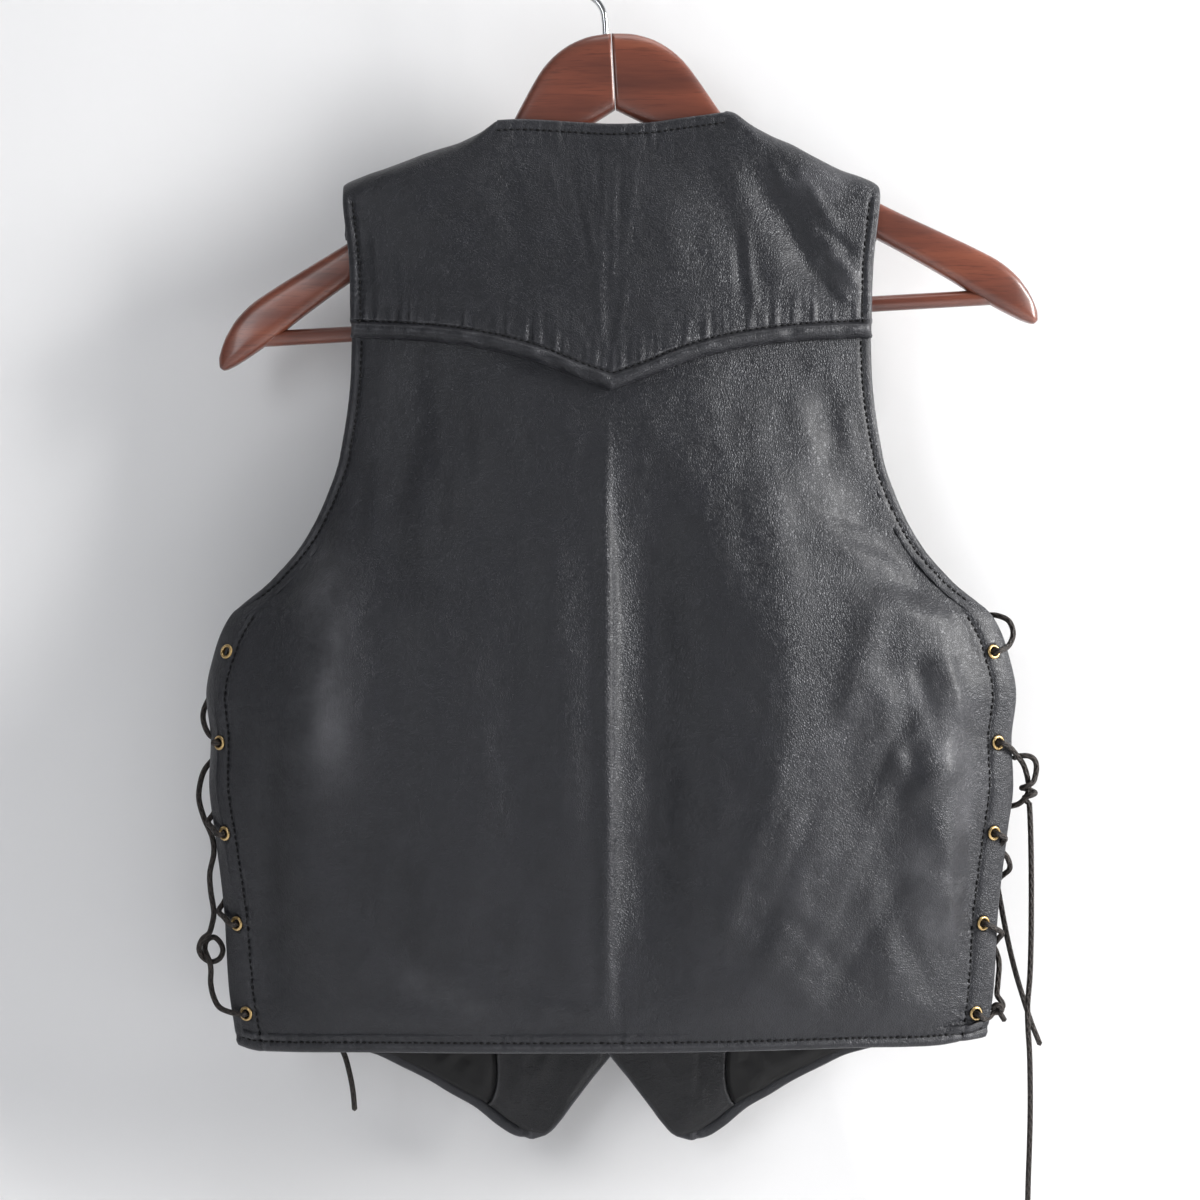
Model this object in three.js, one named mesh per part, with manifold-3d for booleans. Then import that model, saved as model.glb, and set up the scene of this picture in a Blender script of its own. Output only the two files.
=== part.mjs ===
// A leather vest on a wooden hanger, seen from behind: its back faces -Y and its fronts face +Y.
// Millimetres, +Z up. The origin is the seat, the inside top of the hanger's hook.
// Every place is given as out, across from the vest's centre line, and down, below the seat.
import * as THREE from "three";
import { mergeVertices } from "three/addons/utils/BufferGeometryUtils.js";
import Module from "manifold-3d";

const wasm = await Module();
wasm.setup();

const { clamp, degToRad, lerp, smoothstep } = THREE.MathUtils;
const LEFT = -1;
const RIGHT = 1;

// Leather and seams.
const CENTRE_X = 3.5; // the vest's centre line, beside the hook's seat
const LEATHER = 1.8;
const SEAM = 0.4; // air between two pieces of a seam
const NECK_HALF = 62; // from the centre line to the flank of the neck
const LAP = 12; // how far the back panel runs up under the yoke
const ROLL = 2.4; // how far the rolled edge of the yoke stands up
const SHOULDER_SEAM = 26; // how far the yoke comes down the front from the top of the shoulder
const SHOULDER_ROUND = 10; // the drop from the top of the shoulder to where the leather hangs

// The back panel and yoke: half their width, how far their middle and edges stand behind the seat,
// and how far each edge is turned forward, in degrees.
const BACK = [
  { down: 100, half: 144.5, middle: 8, edge: 7.5, left: 8, right: 8, handle: 40 },
  { down: 118, half: 144.5, middle: 9, edge: 7.8, left: 8, right: 8, handle: 40 },
  { down: 143, half: 144.3, middle: 14, edge: 8, left: 9, right: 9, handle: 40 },
  { down: 187, half: 140, middle: 24, edge: 9, left: 11, right: 11, handle: 40 },
  { down: 214, half: 138.6, middle: 28, edge: 9.5, left: 13, right: 13, handle: 40 },
  { down: 243, half: 139.1, middle: 32, edge: 10, left: 15, right: 15, handle: 40 },
  { down: 289, half: 144.8, middle: 37.5, edge: 11, left: 18, right: 18, handle: 40 },
  { down: 315, half: 153.4, middle: 40, edge: 11.5, left: 20, right: 20, handle: 40 },
  { down: 338, half: 165.5, middle: 42, edge: 12, left: 23, right: 22, handle: 40 },
  { down: 358, half: 182.5, middle: 43.5, edge: 12, left: 28, right: 26, handle: 38 },
  { down: 378, half: 204.5, middle: 45, edge: 12, left: 38, right: 34, handle: 34 },
  { down: 395, half: 211.5, middle: 46, edge: 12, left: 52, right: 40, handle: 30 },
  { down: 418, half: 216, middle: 47, edge: 12, left: 64, right: 42, handle: 30 },
  { down: 442, half: 213.5, middle: 48, edge: 12, left: 70, right: 42, handle: 30 },
  { down: 466, half: 214.4, middle: 48.5, edge: 12, left: 68, right: 41, handle: 30 },
  { down: 492, half: 211.3, middle: 49, edge: 12, left: 64, right: 40, handle: 30 },
  { down: 535, half: 206.3, middle: 49, edge: 12, left: 54, right: 38, handle: 30 },
  { down: 575, half: 204, middle: 47.5, edge: 12, left: 42, right: 35, handle: 30 },
  { down: 610, half: 198.5, middle: 45, edge: 12, left: 32, right: 32, handle: 30 },
];

// The fronts: how far their middle and side edges stand before the seat. They are a little
// narrower than the back, so that from behind they show only under its hem.
const FRONT_NARROWER = 3.5;
const FRONT_TURN = 16; // degrees that the side edges are turned back
const FRONT_HANDLE = 34;
const FRONT = [
  { down: 100, middle: 8.5, edge: 8 },
  { down: 130, middle: 10.5, edge: 9 },
  { down: 165, middle: 13.2, edge: 10.4 },
  { down: 214, middle: 15, edge: 10.8 },
  { down: 289, middle: 16, edge: 10.5 },
  { down: 400, middle: 17, edge: 10 },
  { down: 600, middle: 16.5, edge: 10 },
  { down: 670, middle: 16, edge: 10 },
];
const UNDERLAP = 4.4; // how far the right front stands behind the left one where they lap
const UNDERLAP_FROM = 14;
const UNDERLAP_TO = 95;

// The neckline of the yoke, from left to right.
const NECKLINE = [
  { out: -62, down: 109.4 },
  { out: -50, down: 108.8 },
  { out: -15, down: 110.4 },
  { out: 0, down: 111.1 },
  { out: 15, down: 110.8 },
  { out: 40, down: 107.8 },
  { out: 62, down: 105 },
];

// The top of each shoulder, from the neck out.
const SHOULDER = [
  { out: 60, left: 106.4, right: 102 },
  { out: 65, left: 110, right: 102.9 },
  { out: 71, left: 113.6, right: 106.2 },
  { out: 80, left: 117.6, right: 111.6 },
  { out: 98, left: 123.8, right: 119.9 },
  { out: 122, left: 132.3, right: 132.2 },
  { out: 142, left: 139.8, right: 139.6 },
  { out: 146, left: 142.4, right: 142.9 },
];

// The yoke's lower edge dips to a point at the centre.
const YOKE_EDGE = [
  { out: 0, down: 256.5 },
  { out: 16, down: 250.8 },
  { out: 34, down: 243.2 },
  { out: 54, down: 236.8 },
  { out: 75, down: 232.2 },
  { out: 97, down: 229 },
  { out: 145, down: 225 },
];

// The hem of the back, from left to right.
const HEM = [
  { across: -1, down: 605.5 },
  { across: -0.9, down: 607.2 },
  { across: -0.45, down: 604.2 },
  { across: 0, down: 602.6 },
  { across: 0.5, down: 602.3 },
  { across: 0.75, down: 603.4 },
  { across: 1, down: 601 },
];

// The hem of each front, from its side to its point, and its front edge, from the neck to its point.
const FRONT_HEM = [
  { out: 43, down: 663.5 },
  { out: 52, down: 662 },
  { out: 61, down: 657 },
  { out: 75, down: 646 },
  { out: 88, down: 638.8 },
  { out: 100, down: 631.5 },
  { out: 115, down: 624 },
  { out: 131, down: 616.5 },
  { out: 160, down: 610 },
  { out: 200, down: 606 },
];
const FRONT_EDGE = [
  { down: 130, out: 62 },
  { down: 200, out: 45 },
  { down: 280, out: 21 },
  { down: 340, out: -1 },
  { down: 362, out: -10 },
  { down: 385, out: -12 },
  { down: 592, out: -12 },
  { down: 604, out: -8 },
  { down: 617, out: 0 },
  { down: 630, out: 10.5 },
  { down: 645, out: 22 },
  { down: 655, out: 29.5 },
  { down: 661, out: 35.5 },
  { down: 663.5, out: 43 },
];

// The largest folds of the back: a ridge or a trough from one end to the other. A rise above zero
// stands out from the back.
const FOLDS = [
  { out: -3, down: 262, toOut: -1, toDown: 596, width: 6, rise: 2.5 },
  { out: 18, down: 285, toOut: 24, toDown: 590, width: 20, rise: -6 },
  { out: -142, down: 310, toOut: -150, toDown: 500, width: 18, rise: 5 },
  { out: -176, down: 400, toOut: -172, toDown: 590, width: 14, rise: -4 },
  { out: 92, down: 330, toOut: 86, toDown: 560, width: 24, rise: 5 },
  { out: 168, down: 400, toOut: 172, toDown: 560, width: 16, rise: 5 },
  { out: 66, down: 130, toOut: 128, toDown: 215, width: 12, rise: -4 },
  { out: 60, down: 590, toOut: 132, toDown: 470, width: 14, rise: 3 },
];

// Side lacing.
const EYELETS = 5;
const EYELET_TOP = 395;
const EYELET_PITCH = 48.3;
const EYELET_INSET = 9; // from the edge of the leather to the middle of the eyelet
const EYELET_BORE = 2.35;
const EYELET_BARREL = 2.9;
const EYELET_FLANGE = 4;
const EYELET_HOLE = 3.3;
const LACE = 1.5; // the lace's radius
const LACE_SIDES = 8;
const LACE_CLEAR = 1.3; // air between the lace and the leather that it runs along

// Snaps down the front edge.
const SNAPS = 4;
const SNAP_TOP = 392;
const SNAP_PITCH = 62;
const SNAP_RADIUS = 7.5;

// Facings and linings on the inside of the fronts.
const FACING = 1.4;
const LINING = 1;
const HEM_TURN = 0.013; // the share of a front's height that its turned hem takes

// Hanger, in its own frame: it swings about the seat, so its left arm hangs lower.
const HANGER_ROLL = degToRad(3.3);
const HANGER_SHAPE = [
  { out: 0, top: 59.2, bottom: 100.5, thick: 13 },
  { out: 10, top: 60, bottom: 106.1, thick: 13 },
  { out: 21, top: 63.2, bottom: 112.3, thick: 13 },
  { out: 30, top: 68.5, bottom: 117.4, thick: 13 },
  { out: 38, top: 76, bottom: 121.9, thick: 13 },
  { out: 45, top: 86, bottom: 125.8, thick: 13 },
  { out: 52, top: 97.5, bottom: 129.8, thick: 13 },
  { out: 59, top: 108.4, bottom: 133.7, thick: 13 },
  { out: 66, top: 114, bottom: 137.7, thick: 12.6 },
  { out: 80, top: 122.5, bottom: 145.6, thick: 12 },
  { out: 105, top: 137.5, bottom: 159.6, thick: 12 },
  { out: 145, top: 161.7, bottom: 182.5, thick: 12 },
  { out: 176, top: 178, bottom: 202, thick: 12 },
  { out: 192, top: 186.5, bottom: 213, thick: 12.6 },
  { out: 204, top: 193.6, bottom: 220.5, thick: 13 },
  { out: 212, top: 200.5, bottom: 225, thick: 12.6 },
  { out: 218, top: 208, bottom: 228, thick: 11 },
  { out: 222, top: 216, bottom: 229, thick: 8.5 },
  { out: 224, top: 221.5, bottom: 227.5, thick: 5 },
];
const ARM_FORWARD = 8; // how far the tips of the arms stand before the middle
const HANGER_HALF = 224;
const BAR_DOWN = 213.2;
const BAR_RADIUS = 4.3;
const BAR_HALF = 202;
const WIRE = 1.8;
const HOOK_RADIUS = 19 + WIRE; // of the wire's middle line, round the seat's circle
const STEM_OUT = -3;
const STEM_FOOT = 84;

// A smooth course through one column of a table, without overshoot.
function course(rows, key, value) {
  const at = rows.map((row) => row[key]);
  const to = rows.map((row) => row[value]);
  const slope = at.slice(1).map((next, i) => (to[i + 1] - to[i]) / (next - at[i]));
  const tangent = at.map((_, i) => {
    const before = slope[Math.max(i - 1, 0)];
    const after = slope[Math.min(i, slope.length - 1)];
    return before * after <= 0 ? 0 : (2 * before * after) / (before + after);
  });
  return (place) => {
    let i = 0;
    while (i < at.length - 2 && place > at[i + 1]) i += 1;
    const width = at[i + 1] - at[i];
    const t = clamp((place - at[i]) / width, 0, 1);
    return (
      to[i] +
      (to[i + 1] - to[i]) * t * t * (3 - 2 * t) +
      width * t * (1 - t) * (tangent[i] * (1 - t) - tangent[i + 1] * t)
    );
  };
}

const backHalf = course(BACK, "down", "half");
const backMiddle = course(BACK, "down", "middle");
const backEdge = course(BACK, "down", "edge");
const backHandle = course(BACK, "down", "handle");
const backTurn = { [LEFT]: course(BACK, "down", "left"), [RIGHT]: course(BACK, "down", "right") };
const frontMiddle = course(FRONT, "down", "middle");
const frontSideEdge = course(FRONT, "down", "edge");
const neckline = course(NECKLINE, "out", "down");
const shoulderTop = {
  [LEFT]: course(SHOULDER, "out", "left"),
  [RIGHT]: course(SHOULDER, "out", "right"),
};
const yokeEdge = course(YOKE_EDGE, "out", "down");
const hem = course(HEM, "across", "down");
const frontHem = course(FRONT_HEM, "out", "down");
const frontEdge = course(FRONT_EDGE, "down", "out");
const frontHalf = (down) => backHalf(down) - FRONT_NARROWER;

// Half of a section: a curve from the middle, where it runs straight across, to the edge, where it
// is turned by an angle. It gives how far out and how far from the middle's depth a share lies.
function halfSection(share, half, middle, edge, turn, handle) {
  const rest = 1 - share;
  const flat = half * 0.4;
  const outs = [0, flat, half - handle * Math.cos(turn), half];
  const depths = [middle, middle, edge + handle * Math.sin(turn), edge];
  const weights = [rest ** 3, 3 * rest ** 2 * share, 3 * rest * share ** 2, share ** 3];
  const sum = (values) => values.reduce((total, value, i) => total + value * weights[i], 0);
  return { out: sum(outs), depth: sum(depths) };
}

// How far the back stands out in its folds.
function foldRise(out, down) {
  return FOLDS.reduce((rise, fold) => {
    const alongOut = fold.toOut - fold.out;
    const alongDown = fold.toDown - fold.down;
    const length = Math.hypot(alongOut, alongDown);
    const along = ((out - fold.out) * alongOut + (down - fold.down) * alongDown) / length;
    const aside = ((out - fold.out) * alongDown - (down - fold.down) * alongOut) / length;
    const end = smoothstep(along, 0, length * 0.3) * (1 - smoothstep(along, length * 0.7, length));
    return rise + fold.rise * end * Math.exp(-((aside / fold.width) ** 2));
  }, 0);
}

// A point on the inner face of the back. across runs from -1 at the left edge to 1 at the right.
function backPoint(across, down) {
  const side = across < 0 ? LEFT : RIGHT;
  const { out, depth } = halfSection(
    Math.abs(across),
    backHalf(down),
    backMiddle(down),
    backEdge(down),
    degToRad(backTurn[side](down)),
    backHandle(down),
  );
  const free = 1 - smoothstep(Math.abs(across), 0.8, 0.97);
  const rise = foldRise(side * out, down) * free;
  return new THREE.Vector3(CENTRE_X + side * out, -depth - rise, -down);
}

// The share of a half section whose point lies at out.
function shareAt(out, outOfShare) {
  let low = 0;
  let high = 1;
  for (let step = 0; step < 30; step += 1) {
    const share = (low + high) / 2;
    if (outOfShare(share) < out) low = share;
    else high = share;
  }
  return (low + high) / 2;
}

// A point on the inner face of a front. out is measured to the front's own side.
function frontPoint(side, out, down) {
  const half = frontHalf(down);
  const section = (share) =>
    halfSection(
      share,
      half,
      frontMiddle(down),
      frontSideEdge(down),
      degToRad(FRONT_TURN),
      FRONT_HANDLE,
    );
  const share = shareAt(Math.abs(out), (value) => section(value).out);
  const under = side === RIGHT ? 1 - smoothstep(out, UNDERLAP_FROM, UNDERLAP_TO) : 0;
  const depth = section(share).depth - UNDERLAP * under * smoothstep(down, 285, 325);
  return new THREE.Vector3(CENTRE_X + side * out, depth, -down);
}

// Turns a list of points and triangles into a geometry with its faces outwards.
function geometryOf(points, triangles) {
  const corners = triangles.flat().map((i) => points[i]);
  let volume = 0;
  for (let i = 0; i < corners.length; i += 3)
    volume += corners[i].dot(corners[i + 1].clone().cross(corners[i + 2]));
  const order = volume < 0 ? [0, 2, 1] : [0, 1, 2];
  const values = [];
  for (let i = 0; i < corners.length; i += 3)
    order.forEach((corner) => values.push(...corners[i + corner].toArray()));
  const geometry = new THREE.BufferGeometry();
  geometry.setAttribute("position", new THREE.Float32BufferAttribute(values, 3));
  geometry.computeVertexNormals();
  return geometry;
}

// A wall of cloth. Each patch is a grid of { at, from, to }: a point on a surface, and how far from
// it the wall's two faces lie, along the surface's own normal. outward is a direction that the
// normals face. Patches that share points are one surface, and its open rim is closed.
function wall(patches, outward) {
  const cells = [];
  const places = new Map();
  const indexOf = (cell) => {
    const key = cell.at.toArray().map((value) => Math.round(value * 1000)).join();
    if (!places.has(key)) {
      places.set(key, cells.length);
      cells.push(cell);
    }
    return places.get(key);
  };
  const triangles = [];
  for (const rows of patches)
    for (let r = 1; r < rows.length; r += 1)
      for (let c = 1; c < rows[r].length; c += 1) {
        const [a, b] = [indexOf(rows[r - 1][c - 1]), indexOf(rows[r - 1][c])];
        const [d, e] = [indexOf(rows[r][c - 1]), indexOf(rows[r][c])];
        triangles.push([a, b, e], [a, e, d]);
      }
  const normals = cells.map(() => new THREE.Vector3());
  const faceNormals = triangles.map(([a, b, c]) => {
    const ab = cells[b].at.clone().sub(cells[a].at);
    return ab.cross(cells[c].at.clone().sub(cells[a].at));
  });
  const turned = faceNormals[0].dot(outward) < 0 ? -1 : 1;
  triangles.forEach((corners, i) =>
    corners.forEach((corner) => normals[corner].addScaledVector(faceNormals[i], turned)),
  );
  normals.forEach((normal) => normal.normalize());
  const near = cells.map(({ at, from }, i) => at.clone().addScaledVector(normals[i], from));
  const far = cells.map(({ at, to }, i) => at.clone().addScaledVector(normals[i], to));
  const count = cells.length;
  const edges = new Set(triangles.flatMap(([a, b, c]) => [`${a},${b}`, `${b},${c}`, `${c},${a}`]));
  const rim = [...edges]
    .map((edge) => edge.split(",").map(Number))
    .filter(([a, b]) => !edges.has(`${b},${a}`));
  const faces = [
    ...triangles,
    ...triangles.map(([a, b, c]) => [a + count, c + count, b + count]),
    ...rim.flatMap(([a, b]) => [
      [b, a, a + count],
      [b, a + count, b + count],
    ]),
  ];
  return geometryOf([...near, ...far], faces);
}

function solidOf(geometry) {
  const bare = geometry.clone();
  bare.deleteAttribute("normal");
  bare.deleteAttribute("uv");
  const merged = mergeVertices(bare, 1e-4);
  return new wasm.Manifold(
    new wasm.Mesh({
      numProp: 3,
      vertProperties: merged.attributes.position.array,
      triVerts: new Uint32Array(merged.index.array),
    }),
  );
}

function geometryFrom(solid) {
  const { vertProperties, triVerts, numProp } = solid.getMesh();
  const geometry = new THREE.BufferGeometry();
  const values = [...triVerts].flatMap((i) => [
    ...vertProperties.subarray(i * numProp, i * numProp + 3),
  ]);
  geometry.setAttribute("position", new THREE.Float32BufferAttribute(values, 3));
  geometry.computeVertexNormals();
  return geometry;
}

function cut(geometry, tools) {
  return geometryFrom(tools.reduce((solid, tool) => solid.subtract(solidOf(tool)), solidOf(geometry)));
}

// A cylinder or a lathed ring, with its axis moved from Y to a direction.
function alongAxis(geometry, centre, direction) {
  const turn = new THREE.Quaternion().setFromUnitVectors(new THREE.Vector3(0, 1, 0), direction);
  return geometry.applyQuaternion(turn).translate(centre.x, centre.y, centre.z);
}

// A point of a side flap with its outward normal and the direction to its edge. which is "back" or
// "front", and inset is measured from the edge along the leather.
function flapFrame(which, side, down, inset) {
  const half = which === "back" ? backHalf(down) : frontHalf(down);
  const pointAt = (share, at) =>
    which === "back"
      ? backPoint(side * share, at)
      : frontPoint(side, share * frontHalf(at), at);
  let share = 1;
  let point = pointAt(1, down);
  let walked = 0;
  const step = 0.5 / half;
  while (walked < inset) {
    const next = pointAt(share - step, down);
    walked += next.distanceTo(point);
    point = next;
    share -= step;
  }
  const toEdge = point.clone().sub(pointAt(share - 4 * step, down)).normalize();
  const upwards = pointAt(share, down - 2).sub(point).normalize();
  const normal = toEdge.clone().cross(upwards).multiplyScalar(side);
  if (which === "front") normal.negate();
  normal.normalize();
  return { point, normal, toEdge };
}

// A place on a flap: inset may be below zero, past the edge, and lift is measured outwards from
// the flap's inner face.
function flapPlace(which, side, down, inset, lift) {
  const { point, normal, toEdge } = flapFrame(which, side, down, Math.max(inset, 0));
  return point.addScaledVector(toEdge, Math.max(-inset, 0)).addScaledVector(normal, lift);
}

const eyeletDown = (level) => EYELET_TOP + EYELET_PITCH * level;
const levels = [...Array(EYELETS).keys()];

function eyeletHoles(which, side) {
  return levels.map((level) => {
    const { point, normal } = flapFrame(which, side, eyeletDown(level), EYELET_INSET);
    return alongAxis(new THREE.CylinderGeometry(EYELET_HOLE, EYELET_HOLE, 14, 10), point, normal);
  });
}

// The columns of the back: closer together towards the turned edges, with one at each flank of
// the neck.
const neckShare = shareAt(NECK_HALF, (share) => backPoint(share, 112).x - CENTRE_X);
const NECK_COLUMNS = 4;
const SHOULDER_COLUMNS = [0.17, 0.36, 0.56, 0.74, 0.88, 1];
const halfColumns = [
  ...[...Array(NECK_COLUMNS).keys()].map((i) => (neckShare * (i + 1)) / NECK_COLUMNS),
  ...SHOULDER_COLUMNS.map((share) => lerp(neckShare, 1, share)),
];
const columns = [...halfColumns.map((share) => -share).reverse(), 0, ...halfColumns];

const outAt = (across, down) => backPoint(across, down).x - CENTRE_X;
const edgeDown = (across) => yokeEdge(Math.abs(outAt(across, 240)));

function backPanel() {
  const ROWS = 15;
  const rows = [...Array(ROWS + 1).keys()].map((r) =>
    columns.map((across) => {
      const down = lerp(edgeDown(across) - LAP, hem(across), r / ROWS);
      return { at: backPoint(across, down), from: 0, to: LEATHER };
    }),
  );
  const holes = [LEFT, RIGHT].flatMap((side) => eyeletHoles("back", side));
  return cut(wall([rows], new THREE.Vector3(0, -1, 0)), holes);
}

// The shoulder at a column: the depth and height of its top, and the drop before it hangs free.
function shoulderAt(across) {
  const side = across < 0 ? LEFT : RIGHT;
  const out = Math.abs(outAt(across, 112));
  const top = shoulderTop[side](out) + LEATHER;
  const drop = lerp(1, SHOULDER_ROUND, smoothstep(out, NECK_HALF, NECK_HALF + 22));
  return { side, out, top, drop };
}

// The straight seam where the yoke meets a front, before the shoulder.
function shoulderSeam(side, out) {
  const ends = [NECK_HALF, 144].map((end) => shoulderTop[side](end) + LEATHER + SHOULDER_SEAM);
  return lerp(...ends, (out - NECK_HALF) / (144 - NECK_HALF));
}

// Heights above the yoke's lower edge, with its lift over the panel and its rolled edge.
const YOKE_HEM = [
  { above: 0, roll: 0.2 },
  { above: 2.2, roll: 0.85 },
  { above: 4.6, roll: 1 },
  { above: 7, roll: 0.75 },
  { above: 9, roll: 0 },
  { above: 16, roll: 0 },
  { above: 27, roll: 0 },
];
const YOKE_ROWS = 6;

function backYoke() {
  const topDown = (across) => {
    if (Math.abs(across) < neckShare - 1e-6) return neckline(outAt(across, 112));
    const { top, drop } = shoulderAt(across);
    return top + drop;
  };
  const lifted = (above) => (LEATHER + SEAM) * (1 - smoothstep(above, 16, 44));
  const cell = (across, down, roll) => {
    const lift = lifted(edgeDown(across) - down);
    const to = lift + LEATHER + ROLL * roll;
    return { at: backPoint(across, down), from: lift, to };
  };
  const lower = YOKE_HEM.map(({ above, roll }) =>
    columns.map((across) => cell(across, edgeDown(across) - above, roll)),
  );
  const firstUpper = YOKE_HEM.at(-1).above;
  const upper = [...Array(YOKE_ROWS).keys()].map((r) =>
    columns.map((across) => {
      const start = edgeDown(across) - firstUpper;
      return cell(across, lerp(start, topDown(across), (r + 1) / YOKE_ROWS), 0);
    }),
  );
  const overShoulder = (side) => {
    const own = columns.filter((across) => across * side >= neckShare - 1e-6);
    const ANGLES = [90, 60, 30, 0, -30, -60, -90];
    const rounded = ANGLES.map((angle) =>
      own.map((across) => shoulderCell(across, Math.sin(degToRad(angle)), topDown(across))),
    );
    const hanging = own.map((across) => {
      const { out } = shoulderAt(across);
      const at = frontPoint(side, out, shoulderSeam(side, out));
      return { at, from: 0, to: LEATHER };
    });
    return [...rounded, hanging];
  };
  return wall(
    [[...lower, ...upper], overShoulder(LEFT), overShoulder(RIGHT)],
    new THREE.Vector3(0, -1, 0),
  );
}

// A point of the rounded shoulder: turn runs from 1 at the back, through 0 at the top, to -1.
function shoulderCell(across, turn, backDown) {
  const { side, out, top, drop } = shoulderAt(across);
  const behind = backPoint(across, backDown);
  const fall = (height) => top + height * (1 - Math.sqrt(1 - turn * turn));
  const at =
    turn > 0
      ? new THREE.Vector3(behind.x, behind.y * turn, -fall(drop))
      : new THREE.Vector3(
          behind.x,
          frontPoint(side, out, top + SHOULDER_ROUND).y * -turn,
          -fall(SHOULDER_ROUND),
        );
  if (turn === 1) at.copy(behind);
  return { at, from: 0, to: LEATHER };
}

// A front as a patch between its four edges: a place from the side (0) to the front edge (1), and
// from the shoulder (0) to the hem (1).
function frontPlace(side, aside, along) {
  const shoulderOut = (share) => lerp(frontHalf(170), NECK_HALF, share);
  const seamDown = (out) => shoulderSeam(side, out) + SEAM;
  const top = (share) => [shoulderOut(share), seamDown(shoulderOut(share))];
  const bottom = (share) => {
    const out = lerp(frontHalf(606), FRONT_HEM[0].out, share);
    return [out, frontHem(out)];
  };
  const outer = (share) => {
    const down = lerp(top(0)[1], bottom(0)[1], share);
    return [frontHalf(down), down];
  };
  const inner = (share) => {
    const down = lerp(top(1)[1], bottom(1)[1], share);
    return [share === 0 ? NECK_HALF : frontEdge(down), down];
  };
  const corners = [top(0), top(1), bottom(0), bottom(1)];
  const blend = (i) =>
    (1 - along) * top(aside)[i] +
    along * bottom(aside)[i] +
    (1 - aside) * outer(along)[i] +
    aside * inner(along)[i] -
    (1 - aside) * (1 - along) * corners[0][i] -
    aside * (1 - along) * corners[1][i] -
    (1 - aside) * along * corners[2][i] -
    aside * along * corners[3][i];
  return frontPoint(side, blend(0), blend(1));
}

const FRONT_COLUMNS = [0, 0.07, 0.16, 0.3, 0.45, 0.58, 0.68, 0.76, 0.84, 0.92, 1];
const FRONT_ROWS = [0, 0.1, 0.2, 0.3, 0.37, 0.44, 0.52, 0.6, 0.69, 0.78, 0.86, 0.91, 0.95, 0.98, 1];

function frontWall(side, asides, alongs, from, to) {
  const rows = alongs.map((along) =>
    asides(along).map((aside) => ({ at: frontPlace(side, aside, along), from, to })),
  );
  return wall([rows], new THREE.Vector3(0, 1, 0));
}

function front(side) {
  const shell = frontWall(side, () => FRONT_COLUMNS, FRONT_ROWS, 0, LEATHER);
  return cut(shell, eyeletHoles("front", side));
}

// The facing meets the lining along a seam that turns out towards the point of the front.
const facingStart = (along) => 0.6 + 0.2 * smoothstep(along, 0.86, 1);
const insideRows = [0.004, ...FRONT_ROWS.slice(1, -1), 1 - HEM_TURN];

function facing(side) {
  const FRONT_INSET = 0.985;
  const asides = (along) =>
    [0, 0.25, 0.5, 0.75, 1].map((share) => lerp(facingStart(along), FRONT_INSET, share));
  return frontWall(side, asides, insideRows, -SEAM, -SEAM - FACING);
}

function lining(side) {
  const LINING_START = 0.16;
  const GAP = 0.004;
  const asides = (along) =>
    [0, 0.25, 0.5, 0.75, 1].map((share) => lerp(LINING_START, facingStart(along) - GAP, share));
  return frontWall(side, asides, insideRows, -SEAM, -SEAM - LINING);
}

// An eyelet: a flange on the outside of the leather and a barrel through it.
function eyelet(which, side, level) {
  const { point, normal } = flapFrame(which, side, eyeletDown(level), EYELET_INSET);
  const under = LEATHER + SEAM;
  const profile = [
    [EYELET_BORE, -0.5],
    [EYELET_BARREL, -0.5],
    [EYELET_BARREL, under],
    [EYELET_FLANGE, under],
    [EYELET_BORE, under + 0.9],
    [EYELET_BORE, -0.5],
  ].map(([radius, height]) => new THREE.Vector2(radius, height));
  return alongAxis(new THREE.LatheGeometry(profile, 10), point, normal);
}

function snap(level) {
  const down = SNAP_TOP + SNAP_PITCH * level;
  const base = frontPoint(LEFT, 0, down);
  const foot = LEATHER + SEAM;
  const profile = [
    [0, foot],
    [SNAP_RADIUS, foot],
    [SNAP_RADIUS, foot + 1],
    [SNAP_RADIUS - 2, foot + 2.4],
    [0, foot + 3.2],
  ].map(([radius, height]) => new THREE.Vector2(radius, height));
  return alongAxis(new THREE.LatheGeometry(profile, 16), base, new THREE.Vector3(0, 1, 0));
}

// A curve whose equal steps are its control points, so that a tube passes each of them exactly.
class ThroughPoints extends THREE.CatmullRomCurve3 {
  getUtoTmapping(share) {
    return share;
  }
}

function tube(points, radius, sides, stepsBetween) {
  const curve = new ThroughPoints(points, false, "centripetal");
  const section = new THREE.Shape();
  section.absarc(0, 0, radius, 0, 2 * Math.PI);
  const outline = new THREE.Shape(section.getSpacedPoints(sides).slice(0, -1));
  return new THREE.ExtrudeGeometry(outline, {
    steps: (points.length - 1) * stepsBetween,
    extrudePath: curve,
    curveSegments: 1,
  });
}

const LACE_OUTSIDE = LEATHER + LACE + LACE_CLEAR;
const LACE_INSIDE = -(LACE + LACE_CLEAR + LINING);
const other = (which) => (which === "back" ? "front" : "back");

function gapPlace(side, down, outward) {
  const middle = backPoint(side, down).add(frontPoint(side, frontHalf(down), down));
  return middle.multiplyScalar(0.5).add(new THREE.Vector3(side * outward, 0, 0));
}

// Through an eyelet, from inside the vest to its outside.
function throughEyelet(which, side, level) {
  const down = eyeletDown(level);
  return [LACE_INSIDE, LEATHER / 2, LACE_OUTSIDE + 1.5].map((lift) =>
    flapPlace(which, side, down, EYELET_INSET, lift),
  );
}

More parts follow.
